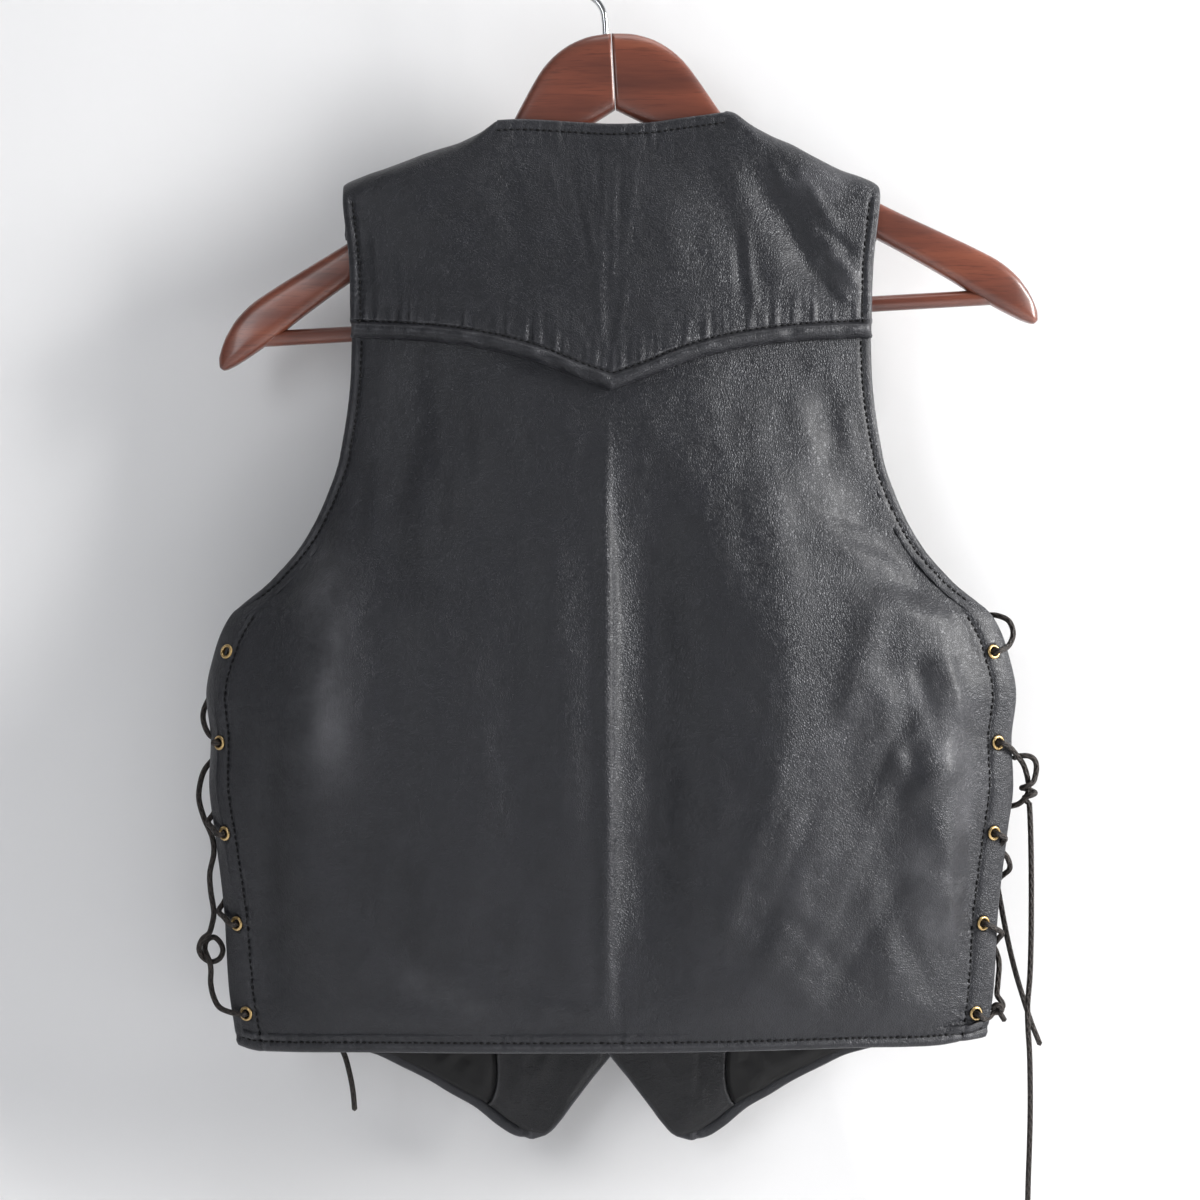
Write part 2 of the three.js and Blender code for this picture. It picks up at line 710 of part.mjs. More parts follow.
// From the outside of an eyelet, over that flap's edge into the gap, and in under the other flap
// up to its next eyelet. outward parts the two strands where they cross.
function overEdge(which, side, level, outward, loop) {
  const down = eyeletDown(level);
  const next = eyeletDown(level + 1);
  const acrossGap = [
    flapPlace(which, side, down + 6, -2, LACE_OUTSIDE - 0.2),
    flapPlace(which, side, down + 10, -LACE - LACE_CLEAR - 1, 0),
    gapPlace(side, (down + next) / 2, outward),
    flapPlace(other(which), side, next - 15, 0, LACE_INSIDE),
  ];
  return [
    flapPlace(which, side, down + 3, 3, LACE_OUTSIDE),
    ...(loop ?? acrossGap),
    flapPlace(other(which), side, next - 6, 6, LACE_INSIDE - 1),
  ];
}

// One of the two strands that leave the top eyelets, crossing from flap to flap.
function strand(start, side, outward, loops, lastLevel) {
  const points = [
    ...throughEyelet(start, side, 0).reverse(),
    flapPlace(start, side, EYELET_TOP + 9, 5, LACE_INSIDE - 1),
    gapPlace(side, EYELET_TOP + EYELET_PITCH / 2, -5 + outward),
    flapPlace(other(start), side, eyeletDown(1) - 9, 5, LACE_INSIDE - 1),
  ];
  for (let level = 1; level <= lastLevel; level += 1) {
    const which = level % 2 ? other(start) : start;
    points.push(...throughEyelet(which, side, level));
    if (level < lastLevel) points.push(...overEdge(which, side, level, outward, loops[level]));
  }
  return points;
}

const spot = (x, y, z) => new THREE.Vector3(x, y, z);

// The loop of the right lace that hangs out at the second eyelet and carries the long end.
const RIGHT_LOOP = [
  spot(221.5, -13, -450.5),
  spot(226, -9, -456),
  spot(228.5, -8, -464),
  spot(228.8, -7.5, -471),
  spot(224.5, -6, -477),
  spot(217.5, -3, -479.5),
];

// The lace of one side: its two strands, joined by the loop over the top of the opening. The
// strand that starts at the back ends in a knot beside the lowest eyelet.
function lacePoints(side) {
  const topLoop = [
    flapPlace("back", side, EYELET_TOP - 5, 3, LACE_OUTSIDE),
    flapPlace("back", side, EYELET_TOP - 10, -LACE - LACE_CLEAR, LACE_OUTSIDE - 1),
    gapPlace(side, EYELET_TOP - 17, 4),
    flapPlace("front", side, EYELET_TOP - 10, -LACE - LACE_CLEAR, LACE_OUTSIDE - 1),
    flapPlace("front", side, EYELET_TOP - 5, 3, LACE_OUTSIDE),
  ];
  const loops = side === RIGHT ? { 1: RIGHT_LOOP } : {};
  const fromBack = strand("back", side, 2.4, {}, 3);
  const fromFront = strand("front", side, -2.4, loops, 4);
  return [...fromBack.reverse(), ...topLoop, ...fromFront];
}

// From the last eyelet of the front that the outer strand uses, out past the edge of the back.
const LEFT_KNOT = spot(-214.5, -8, -556);
const RIGHT_KNOT = spot(212.5, -8.5, -586);
const KNOT_RING = 5.4;
const KNOT_TUBE = 2.1;

function laceToKnot(side, knotTop) {
  const down = eyeletDown(3);
  return [
    flapPlace("front", side, down + 6, -2, LACE_OUTSIDE - 0.2),
    flapPlace("front", side, down + 9, -LACE - LACE_CLEAR - 1, LACE_CLEAR),
    ...knotTop,
  ];
}

// From beside the knot through the lowest eyelet of the back, from its outside.
function laceFromKnot(side, knotFoot) {
  return [
    ...knotFoot,
    flapPlace("back", side, eyeletDown(4) - 4, 2, LACE_OUTSIDE + 0.6),
    ...throughEyelet("back", side, 4).reverse(),
  ];
}

// The free ends: each is a list of places, from where it leaves to its cut end.
const LONG_END = [
  spot(229.4, -7.2, -475.6),
  spot(230, -7, -486),
  spot(230.4, -7, -500),
  spot(230.6, -7, -517),
  spot(230.6, -7, -534),
  spot(230.4, -7, -553),
  spot(229.8, -7, -571),
  spot(228.6, -7, -586),
  spot(228.8, -7, -598),
  spot(229.6, -7, -611),
  spot(230, -7, -628),
  spot(230, -7, -645),
  spot(229.6, -7, -662),
  spot(229, -7, -679),
  spot(228.6, -7, -696),
  spot(228.6, -7, -717),
];
const SHORT_END = [
  spot(213.2, 1.3, -520.1),
  spot(214.6, 1.3, -526.5),
  spot(215.9, 1, -534),
  spot(217.4, 0, -543),
  spot(219.7, -1, -555),
  spot(223, -2, -569),
  spot(227.2, -2, -583),
  spot(231.8, -2, -597),
  spot(236.6, -2, -609),
];
const INNER_END = [
  spot(-189.2, -12.9, -587.7),
  spot(-187, -8.5, -587.5),
  spot(-183.2, -4.5, -588),
  spot(-177.2, -1.5, -589.4),
  spot(-170, 0.5, -591.5),
  spot(-162, 1.2, -594.6),
  spot(-154, 1.2, -599.2),
  spot(-147, 1, -605.6),
  spot(-142, 0.5, -613.8),
  spot(-139, 0, -623.6),
  spot(-137, 0, -634),
  spot(-136, 0, -645),
];

// A ring of lace round another lace.
function hitch(centre, direction, height) {
  const inner = LACE + 0.45;
  const profile = [
    [inner, -height / 2],
    [inner + 1.8, -height / 2],
    [inner + 3, 0],
    [inner + 1.8, height / 2],
    [inner, height / 2],
    [inner, -height / 2],
  ].map(([radius, rise]) => new THREE.Vector2(radius, rise));
  return alongAxis(new THREE.LatheGeometry(profile, 12), centre, direction);
}

function openKnot(centre) {
  const ring = new THREE.TorusGeometry(KNOT_RING, KNOT_TUBE, 8, 16);
  return ring.rotateX(Math.PI / 2).rotateZ(degToRad(12)).translate(centre.x, centre.y, centre.z);
}

const armForward = (out) => ARM_FORWARD * (Math.abs(out) / HANGER_HALF) ** 2.2;

// The wooden body: rounded sections from tip to tip, with a bore for the hook and two blind
// sockets for the bar.
function hangerBody() {
  const SECTION = 12;
  const ROUNDNESS = 0.62;
  const stations = [...HANGER_SHAPE.slice(1).map((row) => ({ ...row, out: -row.out })).reverse(),
    ...HANGER_SHAPE];
  const points = [];
  const triangles = [];
  stations.forEach(({ out, top, bottom, thick }, s) => {
    for (let i = 0; i < SECTION; i += 1) {
      const angle = (2 * Math.PI * (i + 0.5)) / SECTION;
      const round = (value) => Math.sign(value) * Math.abs(value) ** ROUNDNESS;
      const y = armForward(out) + (thick / 2) * round(Math.cos(angle));
      const z = -(top + bottom) / 2 + ((bottom - top) / 2) * round(Math.sin(angle));
      points.push(new THREE.Vector3(out, y, z));
      if (s === 0) continue;
      const [a, b] = [(s - 1) * SECTION + i, (s - 1) * SECTION + ((i + 1) % SECTION)];
      triangles.push([a, b, b + SECTION], [a, b + SECTION, a + SECTION]);
    }
  });
  const last = (stations.length - 1) * SECTION;
  for (let i = 1; i < SECTION - 1; i += 1)
    triangles.push([0, i + 1, i], [last, last + i, last + i + 1]);
  const bore = new THREE.CylinderGeometry(WIRE + 0.35, WIRE + 0.35, 60, 12);
  bore.rotateX(Math.PI / 2).translate(STEM_OUT, 0, -STEM_FOOT + 29.5);
  const socket = (side) => {
    const hole = new THREE.CylinderGeometry(BAR_RADIUS + 0.35, BAR_RADIUS + 0.35, 40, 14);
    const middle = side * (BAR_HALF + 0.35 - 20);
    return hole.rotateZ(Math.PI / 2).translate(middle, armForward(BAR_HALF), -BAR_DOWN);
  };
  return cut(geometryOf(points, triangles), [bore, socket(LEFT), socket(RIGHT)]);
}

function hangerBar() {
  const bar = new THREE.CylinderGeometry(BAR_RADIUS, BAR_RADIUS, 2 * BAR_HALF, 14);
  return bar.rotateZ(Math.PI / 2).translate(0, armForward(BAR_HALF), -BAR_DOWN);
}

// The wire hook: a stem that leans over into a round hook, open on the right.
function hangerHook() {
  const centre = { out: -Math.tan(HANGER_ROLL) * HOOK_RADIUS, down: HOOK_RADIUS - WIRE };
  const arc = [222, 200, 178, 156, 134, 112, 90, 68, 46, 24, 2, -20, -38].map((degrees) =>
    spot(
      centre.out + HOOK_RADIUS * Math.cos(degToRad(degrees)),
      0,
      -centre.down + HOOK_RADIUS * Math.sin(degToRad(degrees)),
    ),
  );
  const stem = [
    spot(STEM_OUT, 0, -STEM_FOOT),
    spot(STEM_OUT, 0, -66),
    spot(STEM_OUT, 0, -52),
    spot(STEM_OUT - 0.6, 0, -46.5),
    spot(STEM_OUT - 3.4, 0, -41.2),
    spot(STEM_OUT - 8, 0, -37.2),
  ];
  return tube([...stem, ...arc], WIRE, 10, 1);
}

const finish = (color, roughness, metalness = 0) =>
  new THREE.MeshStandardMaterial({ color, roughness, metalness });
const leather = finish(0x2a2a2f, 0.45);
const satin = finish(0x141416, 0.35);
const laceLeather = finish(0x2b211c, 0.7);
const brass = finish(0xb08a45, 0.3, 1);
const wood = finish(0x5a2418, 0.35);
const chrome = finish(0xc8c8cc, 0.15, 1);

const garment = new THREE.Group();

function add(parent, name, geometry, material) {
  const mesh = new THREE.Mesh(geometry, material);
  mesh.name = name;
  parent.add(mesh);
}

const SIDES = [
  ["left", LEFT],
  ["right", RIGHT],
];

add(garment, "back_panel", backPanel(), leather);
add(garment, "back_yoke", backYoke(), leather);
for (const [name, side] of SIDES) {
  add(garment, `front_${name}`, front(side), leather);
  add(garment, `facing_${name}`, facing(side), leather);
  add(garment, `lining_${name}`, lining(side), satin);
  add(garment, `lace_${name}`, tube(lacePoints(side), LACE, LACE_SIDES, 1), laceLeather);
  for (const which of ["back", "front"])
    for (const level of levels) {
      add(garment, `eyelet_${which}_${name}_${level + 1}`, eyelet(which, side, level), brass);
    }
}
for (let level = 0; level < SNAPS; level += 1) add(garment, `snap_${level + 1}`, snap(level), brass);

const tie = (name, points, between = 1) =>
  add(garment, name, tube(points, LACE, LACE_SIDES, between), laceLeather);
const leftKnotTop = [
  spot(-213.2, -6.5, -541),
  LEFT_KNOT.clone().add(spot(0.6, 0, KNOT_RING + KNOT_TUBE + 0.6)),
];
tie("lace_left_to_knot", laceToKnot(LEFT, leftKnotTop));
tie(
  "lace_left_from_knot",
  laceFromKnot(LEFT, [
    LEFT_KNOT.clone().add(spot(0.8, 0, -KNOT_RING - KNOT_TUBE - 0.5)),
    spot(-213.4, -9, -573),
    spot(-212, -11, -581),
  ]),
);
tie(
  "lace_right_to_eyelet",
  [
    ...laceToKnot(RIGHT, [spot(213.5, -4, -562)]),
    spot(212.6, -8, -574),
    ...laceFromKnot(RIGHT, [RIGHT_KNOT.clone()]),
  ],
);
add(garment, "knot_left", openKnot(LEFT_KNOT), laceLeather);
add(garment, "knot_right", hitch(RIGHT_KNOT.clone().add(spot(0, 0, 7)), spot(0, 0, 1), 5), laceLeather);
add(garment, "hitch_right", hitch(spot(228.7, -8, -467.6), spot(0, 0, 1), 4), laceLeather);
tie("lace_end_right_long", LONG_END);
tie("lace_end_right_short", SHORT_END);
tie("lace_end_left_inner", INNER_END);

const hanger = new THREE.Group();
hanger.rotation.y = -HANGER_ROLL;
add(hanger, "hanger_body", hangerBody(), wood);
add(hanger, "hanger_bar", hangerBar(), wood);
add(hanger, "hanger_hook", hangerHook(), chrome);

const vestOnHanger = new THREE.Group();
vestOnHanger.add(garment, hanger);

export default vestOnHanger;
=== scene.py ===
"""A leather vest on a wooden hanger, seen from behind: its back faces -Y and its fronts face +Y.

The tables are in millimetres and every mesh is in metres, with +Z up. The origin is the seat, the
inside top of the hanger's hook. A place on the vest is given as out, across from its centre line,
and down, below the seat. Across is a share of half a section, from -1 to 1.
"""

import bisect
import functools
import math

import bmesh
import bpy
from mathutils import Matrix, Vector, noise
from mathutils.bvhtree import BVHTree


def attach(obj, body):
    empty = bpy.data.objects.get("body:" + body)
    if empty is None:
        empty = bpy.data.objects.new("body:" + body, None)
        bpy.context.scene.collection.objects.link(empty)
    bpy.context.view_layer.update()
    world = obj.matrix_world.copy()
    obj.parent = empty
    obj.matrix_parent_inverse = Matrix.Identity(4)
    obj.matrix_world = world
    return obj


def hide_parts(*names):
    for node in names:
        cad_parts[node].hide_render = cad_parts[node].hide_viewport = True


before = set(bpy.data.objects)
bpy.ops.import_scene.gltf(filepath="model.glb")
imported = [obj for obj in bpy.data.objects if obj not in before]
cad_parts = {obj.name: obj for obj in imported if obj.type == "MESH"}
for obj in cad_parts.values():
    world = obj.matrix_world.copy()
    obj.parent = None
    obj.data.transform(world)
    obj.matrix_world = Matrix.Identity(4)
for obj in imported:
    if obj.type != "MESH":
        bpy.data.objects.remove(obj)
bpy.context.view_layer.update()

MM = 0.001
LEFT, RIGHT = -1, 1
SIDES = (("left", LEFT), ("right", RIGHT))
BEHIND, AHEAD = Vector((0, -1, 0)), Vector((0, 1, 0))

# Leather and seams
CENTRE_X = 3.5
LEATHER = 1.8  # from the inner face of the cloth to its outer face
SKIN = 0.9  # one layer of leather
EDGE_ROLL = 1.35  # radius of a turned edge
SEAM = 0.4
NECK_HALF = 62
SHOULDER_HALF = 144
LAP = 12
SHOULDER_SEAM = 26
SHOULDER_ROUND = 10
FRONT_WIDE, FRONT_LONG = 190, 470  # about, for insets
NECK_LEVEL, YOKE_LEVEL = 112, 240  # where the places across the neck and yoke are measured
FRONT_TOP, FRONT_FOOT = 170, 606  # where the ends of a front's side edge are measured
FIRST_HANDLE = 0.4  # how far out a section leaves its middle, as a share of its half width

# Rows of stitches, by how far they lie in from an edge
EDGE_STITCH = 4.6
EDGE_CREST = 2.3  # the ridge outside that row
HEM_STITCH = 4.4
LACED_STITCH = 14.5  # behind the eyelets
YOKE_STITCH = 8.8
LACED_FROM = 372  # the side edges are laced below this level
STITCH = 3.5  # length
THREAD = 0.62  # half its thickness


def table(names, *rows):
    """Columns of numbers, by name."""
    return dict(zip(names.split(), zip(*rows)))


BACK = table(
    "down half middle edge left right handle",
    (100, 144.5, 8, 7.5, 8, 8, 40),
    (118, 144.5, 9, 7.8, 8, 8, 40),
    (143, 144.3, 14, 8, 9, 9, 40),
    (187, 140, 24, 9, 11, 11, 40),
    (214, 138.6, 28, 9.5, 13, 13, 40),
    (243, 139.1, 32, 10, 15, 15, 40),
    (289, 144.8, 37.5, 11, 18, 18, 40),
    (315, 153.4, 40, 11.5, 20, 20, 40),
    (338, 165.5, 42, 12, 23, 22, 40),
    (358, 182.5, 43.5, 12, 28, 26, 38),
    (378, 204.5, 45, 12, 38, 34, 34),
    (395, 211.5, 46, 12, 52, 40, 30),
    (418, 216, 47, 12, 64, 42, 30),
    (442, 213.5, 48, 12, 70, 42, 30),
    (466, 214.4, 48.5, 12, 68, 41, 30),
    (492, 211.3, 49, 12, 64, 40, 30),
    (535, 206.3, 49, 12, 54, 38, 30),
    (575, 204, 47.5, 12, 42, 35, 30),
    (610, 198.5, 45, 12, 32, 32, 30),
)

FRONT_NARROWER = 3.5
FRONT_TURN = 16
FRONT_HANDLE = 34
FRONT = table(
    "down middle edge",
    (100, 8.5, 8), (130, 10.5, 9), (165, 13.2, 10.4), (214, 15, 10.8), (289, 16, 10.5),
    (400, 17, 10), (600, 16.5, 10), (670, 16, 10),
)
UNDERLAP = 4.4
UNDERLAP_FROM, UNDERLAP_TO = 14, 95

NECKLINE = table(
    "out down",
    (-62, 109.4), (-50, 108.8), (-15, 110.4), (0, 111.1), (15, 110.8), (40, 107.8), (62, 105),
)
SHOULDER = table(
    "out left right",
    (60, 106.4, 102), (65, 110, 102.9), (71, 113.6, 106.2), (80, 117.6, 111.6), (98, 123.8, 119.9),
    (122, 132.3, 132.2), (142, 139.8, 139.6), (146, 142.4, 142.9),
)
YOKE_EDGE = table(
    "out down",
    (0, 256.5), (16, 250.8), (34, 243.2), (54, 236.8), (75, 232.2), (97, 229), (145, 225),
)
HEM = table(
    "across down",
    (-1, 605.5), (-0.9, 607.2), (-0.45, 604.2), (0, 602.6), (0.5, 602.3), (0.75, 603.4), (1, 601),
)
FRONT_HEM = table(
    "out down",
    (43, 663.5), (52, 662), (61, 657), (75, 646), (88, 638.8), (100, 631.5), (115, 624),
    (131, 616.5), (160, 610), (200, 606),
)
FRONT_EDGE = table(
    "down out",
    (130, 62), (200, 45), (280, 21), (340, -1), (362, -10), (385, -12), (592, -12), (604, -8),
    (617, 0), (630, 10.5), (645, 22), (655, 29.5), (661, 35.5), (663.5, 43),
)

# Folds of the back: a ridge or trough from one place to another. Above zero it stands out.
FOLDS = (
    # out, down, to out, to down, width, rise
    (-3, 262, -1, 596, 6, 2.5),
    (18, 285, 24, 590, 20, -6),
    (-142, 310, -150, 500, 18, 5),
    (-176, 400, -172, 590, 14, -4),
    (92, 330, 86, 560, 24, 5),
    (168, 400, 172, 560, 16, 5),
    (66, 130, 128, 215, 12, -4),
    (60, 590, 132, 470, 14, 3),
)

# Side lacing
EYELETS = 5
EYELET_TOP = 395
EYELET_PITCH = 48.3
EYELET_INSET = 9
EYELET_HOLE = 3.2  # radius
HOLE_REACH = 5  # how far off a flap a hole still cuts it
LACE = 1.5  # radius
LACE_CLEAR = 1.3
LINING = 1

# Facings and linings, with the shares of a front's length that they cover
INSIDE_THICK = 0.6
INSIDE_FROM, INSIDE_TO = 0.004, 0.9955

# Hanger, in its own frame: it swings about the seat, so its left arm hangs lower
HANGER_ROLL = math.radians(3.3)
HANGER_SHAPE = table(
    "out top bottom thick",
    (0, 59.2, 100.5, 13),
    (10, 60, 106.1, 13),
    (21, 63.2, 112.3, 13),
    (30, 68.5, 117.4, 13),
    (38, 76, 121.9, 13),
    (45, 86, 125.8, 13),
    (52, 97.5, 129.8, 13),
    (59, 108.4, 133.7, 13),
    (66, 114, 137.7, 12.6),
    (80, 122.5, 145.6, 12),
    (105, 137.5, 159.6, 12),
    (145, 161.7, 182.5, 12),
    (176, 178, 202, 12),
    (192, 186.5, 213, 12.6),
    (204, 193.6, 220.5, 13),
    (212, 200.5, 225, 12.6),
    (218, 208, 228, 11),
    (222, 216, 229, 8.5),
    (224, 221.5, 227.5, 5),
)
ARM_FORWARD = 8
HANGER_HALF = 224
BAR_DOWN = 213.2
BAR_RADIUS = 4.3
BAR_HALF = 202
WIRE = 1.8
HOOK_RADIUS = 19 + WIRE
STEM_OUT = -3
STEM_FOOT = 84


def clamp(value, low=0.0, high=1.0):
    return min(max(value, low), high)


def mix(a, b, share):
    return a + (b - a) * share


def smooth(value, low, high):
    t = clamp((value - low) / (high - low))
    return t * t * (3 - 2 * t)


def course(columns, name):
    """A smooth curve of a table's column over its first one, without overshoot."""
    at, to = next(iter(columns.values())), columns[name]
    slopes = [(to[i + 1] - to[i]) / (at[i + 1] - at[i]) for i in range(len(at) - 1)]
    tangents = []
    for i in range(len(at)):
        before, after = slopes[max(i - 1, 0)], slopes[min(i, len(slopes) - 1)]
        tangents.append(0 if before * after <= 0 else 2 * before * after / (before + after))

    last = len(at) - 2

    def value(place):
        if place <= at[0]:
            return to[0]
        if place >= at[-1]:
            return to[-1]
        i = min(bisect.bisect_left(at, place) - 1, last)
        width = at[i + 1] - at[i]
        t = (place - at[i]) / width
        ease = t * t * (3 - 2 * t)
        bend = width * t * (1 - t) * (tangents[i] * (1 - t) - tangents[i + 1] * t)
        return to[i] + (to[i + 1] - to[i]) * ease + bend

    return value


back_half, back_middle, back_edge, back_handle = (
    course(BACK, name) for name in ("half", "middle", "edge", "handle")
)
back_turn = {side: course(BACK, side_name) for side_name, side in SIDES}
front_middle, front_side_edge = course(FRONT, "middle"), course(FRONT, "edge")
shoulder_top = {side: course(SHOULDER, side_name) for side_name, side in SIDES}
neckline = course(NECKLINE, "down")
yoke_edge = course(YOKE_EDGE, "down")
hem = course(HEM, "down")
front_hem = course(FRONT_HEM, "down")
front_edge = course(FRONT_EDGE, "out")


def front_half(down):
    return back_half(down) - FRONT_NARROWER


def half_section(share, half, middle, edge, turn, handle):
    """How far out and how deep a share of half a section lies."""
    rest = 1 - share
    first, second, third = rest**3, 3 * rest * rest * share, 3 * rest * share * share
    last = share**3
    bent, sunk = half - handle * math.cos(turn), edge + handle * math.sin(turn)
    return (
        second * half * FIRST_HANDLE + third * bent + last * half,
        (first + second) * middle + third * sunk + last * edge,
    )


def fold_rise(out, down, folds):
    rise = 0.0
    for from_out, from_down, to_out, to_down, width, height in folds:
        along_out, along_down = to_out - from_out, to_down - from_down
        length = math.hypot(along_out, along_down)
        aside = ((out - from_out) * along_down - (down - from_down) * along_out) / length
        if abs(aside) > 3 * width:
            continue
        along = ((out - from_out) * along_out + (down - from_down) * along_down) / length
        if not 0 < along < length:
            continue
        end = smooth(along, 0, length * 0.3) * (1 - smooth(along, length * 0.7, length))
        rise += height * end * math.exp(-((aside / width) ** 2))
    return rise


def back_point(across, down):
    """A point on the inner face of the back, in millimetres."""
    side = LEFT if across < 0 else RIGHT
    out, depth = half_section(
        abs(across),
        back_half(down),
        back_middle(down),
        back_edge(down),
        math.radians(back_turn[side](down)),
        back_handle(down),
    )
    free = 1 - smooth(abs(across), 0.8, 0.97)
    rise = fold_rise(side * out, down, FOLDS) * free
    return Vector((CENTRE_X + side * out, -depth - rise, -down))


def share_at(out, out_of_share):
    """The share whose place lies at out, by halving and then by the slope."""
    low, high = 0.0, 1.0
    for _ in range(4):
        share = (low + high) / 2
        if out_of_share(share) < out:
            low = share
        else:
            high = share
    share, step = (low + high) / 2, 1e-4
    for _ in range(3):
        here = out_of_share(share)
        slope = (out_of_share(share + step) - here) / step
        share += (out - here) / slope
    return share


def front_point(side, out, down):
    """A point on the inner face of a front. Out is measured to the front's own side."""
    facts = (
        front_half(down),
        front_middle(down),
        front_side_edge(down),
        math.radians(FRONT_TURN),
        FRONT_HANDLE,
    )
    share = share_at(abs(out), lambda value: half_section(value, *facts)[0])
    under = 1 - smooth(out, UNDERLAP_FROM, UNDERLAP_TO) if side == RIGHT else 0
    depth = half_section(share, *facts)[1] - UNDERLAP * under * smooth(down, 285, 325)
    return Vector((CENTRE_X + side * out, depth, -down))


def flap_point(which, side, share, down):
    if which == "back":
        return back_point(side * share, down)
    return front_point(side, share * front_half(down), down)


def flap_frame(which, side, down, inset):
    """A point of a side flap, with its outward normal and the direction to its edge."""
    half = back_half(down) if which == "back" else front_half(down)
    share, walked = 1.0, 0.0
    point = flap_point(which, side, 1, down)
    step = 0.5 / half
    while walked < inset:
        following = flap_point(which, side, share - step, down)
        walked += (following - point).length
        point = following
        share -= step
    to_edge = (point - flap_point(which, side, share - 4 * step, down)).normalized()
    upwards = (flap_point(which, side, share, down - 2) - point).normalized()
    normal = to_edge.cross(upwards) * side
    if which == "front":
        normal.negate()
    return point, normal.normalized(), to_edge


def flap_place(which, side, down, inset, lift):
    """A place on a flap. Inset below zero is past its edge, and lift is from its inner face."""
    point, normal, to_edge = flap_frame(which, side, down, max(inset, 0))
    return point + to_edge * max(-inset, 0) + normal * lift


def eyelet_down(level):
    return EYELET_TOP + EYELET_PITCH * level


def spots(*places):
    return [Vector(place) for place in places]


# Camera
lens = bpy.data.cameras.new("camera")
lens.lens = 63.42
lens.sensor_width = 36
camera = bpy.data.objects.new("camera", lens)
camera.location = (-0.0026, -1.15, -0.367)
camera.rotation_euler = (math.pi / 2, 0, 0)
bpy.context.scene.collection.objects.link(camera)
bpy.context.scene.camera = camera


# Making
def piece(name, bm, slot, finish, replaces=()):
    """An object from a bmesh in metres, which rides on the vest's one body."""
    mesh = bpy.data.meshes.new(name)
    for face in bm.faces:
        face.smooth = True
    bm.to_mesh(mesh)
    bm.free()
    made = bpy.data.objects.new(name, mesh)
    bpy.context.scene.collection.objects.link(made)
    mesh.materials.append(finish)
    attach(made, "root")
    if replaces:
        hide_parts(*replaces)
    return made


def course_through(points, step):
    """Places along a centripetal curve through points, no further apart than a step."""

    def between(before, start, end, after, share):
        t0 = 0.0
        t1 = t0 + (start - before).length ** 0.5
        t2 = t1 + (end - start).length ** 0.5
        t3 = t2 + (after - end).length ** 0.5
        t = mix(t1, t2, share)
        a1 = before * ((t1 - t) / (t1 - t0)) + start * ((t - t0) / (t1 - t0))
        a2 = start * ((t2 - t) / (t2 - t1)) + end * ((t - t1) / (t2 - t1))
        a3 = end * ((t3 - t) / (t3 - t2)) + after * ((t - t2) / (t3 - t2))
        b1 = a1 * ((t2 - t) / (t2 - t0)) + a2 * ((t - t0) / (t2 - t0))
        b2 = a2 * ((t3 - t) / (t3 - t1)) + a3 * ((t - t1) / (t3 - t1))
        return b1 * ((t2 - t) / (t2 - t1)) + b2 * ((t - t1) / (t2 - t1))

    run = [points[0] * 2 - points[1], *points, points[-1] * 2 - points[-2]]
    places = [points[0].copy()]
    for before, start, end, after in zip(run, run[1:], run[2:], run[3:]):
        count = max(1, math.ceil((end - start).length / step))
        places += [between(before, start, end, after, (i + 1) / count) for i in range(count)]
    return places


def walked_along(places):
    """How far along a line each of its places lies."""
    walked = [0.0]
    for place, following in zip(places, places[1:]):
        walked.append(walked[-1] + (following - place).length)
    return walked


def unit_grid(layer, wide, long):
    """A square grid to be laid out, with UV."""
    bm = bmesh.new()
    bm.loops.layers.uv.new(layer)
    bmesh.ops.create_grid(bm, x_segments=wide, y_segments=long, size=0.5, calc_uvs=True)
    return bm


def close_tube(bm, sides):
    """Joins the two long edges of a rolled grid, and fills its ends."""
    bmesh.ops.remove_doubles(bm, verts=bm.verts, dist=1e-6)
    rims = [edge for edge in bm.edges if edge.is_boundary]
    bmesh.ops.holes_fill(bm, edges=rims, sides=sides)
    bmesh.ops.recalc_face_normals(bm, faces=bm.faces)
    return bm


def tube(places, radius, sides, ends=0.0):
    """A round tube along places in millimetres, with UV along and around, in metres and turns."""
    count = len(places) - 1
    bm = unit_grid("along", sides, count)
    directions = [(b - a).normalized() for a, b in zip(places, places[1:])]
    directions.append(directions[-1])
    frames = []
    side = directions[0].orthogonal().normalized()
    for previous, direction in zip([directions[0], *directions], directions):
        side = previous.rotation_difference(direction) @ side
        side = (side - direction * side.dot(direction)).normalized()
        frames.append((side, direction.cross(side)))
    travelled = walked_along(places)
    whole = travelled[-1]
    for face in bm.faces:
        for loop in face.loops:
            uv = loop[bm.loops.layers.uv.active].uv
            uv.y = travelled[round((loop.vert.co.y + 0.5) * count)] * MM
    for vert in bm.verts:
        j = round((vert.co.y + 0.5) * count)
        angle = 2 * math.pi * (vert.co.x + 0.5)
        near = min(travelled[j], whole - travelled[j])
        tip = math.sqrt(clamp(1 - (1 - near / ends) ** 2, 0.04, 1)) if near < ends else 1
        across, over = frames[j]
        aside = (across * math.cos(angle) + over * math.sin(angle)) * radius * tip
        vert.co = (places[j] + aside) * MM
    return close_tube(bm, sides)


# Node helpers
def link(tree, socket, value):
    """Links an input to another node's output, or sets it. A colour gets its alpha."""
    if isinstance(value, bpy.types.NodeSocket):
        tree.links.new(value, socket)
    else:
        socket.default_value = (*value, 1) if socket.type == "RGBA" else value


def feed(tree, node, **values):
    for name, value in values.items():
        link(tree, node.inputs[name.replace("_", " ")], value)


def new_node(tree, kind, **values):
    """A node with its settings and inputs by name. The settings come first."""
    made = tree.nodes.new(kind)
    for name, value in values.items():
        if hasattr(made, name) and name not in made.inputs:
            setattr(made, name, value)
        else:
            feed(tree, made, **{name: value})
    return made


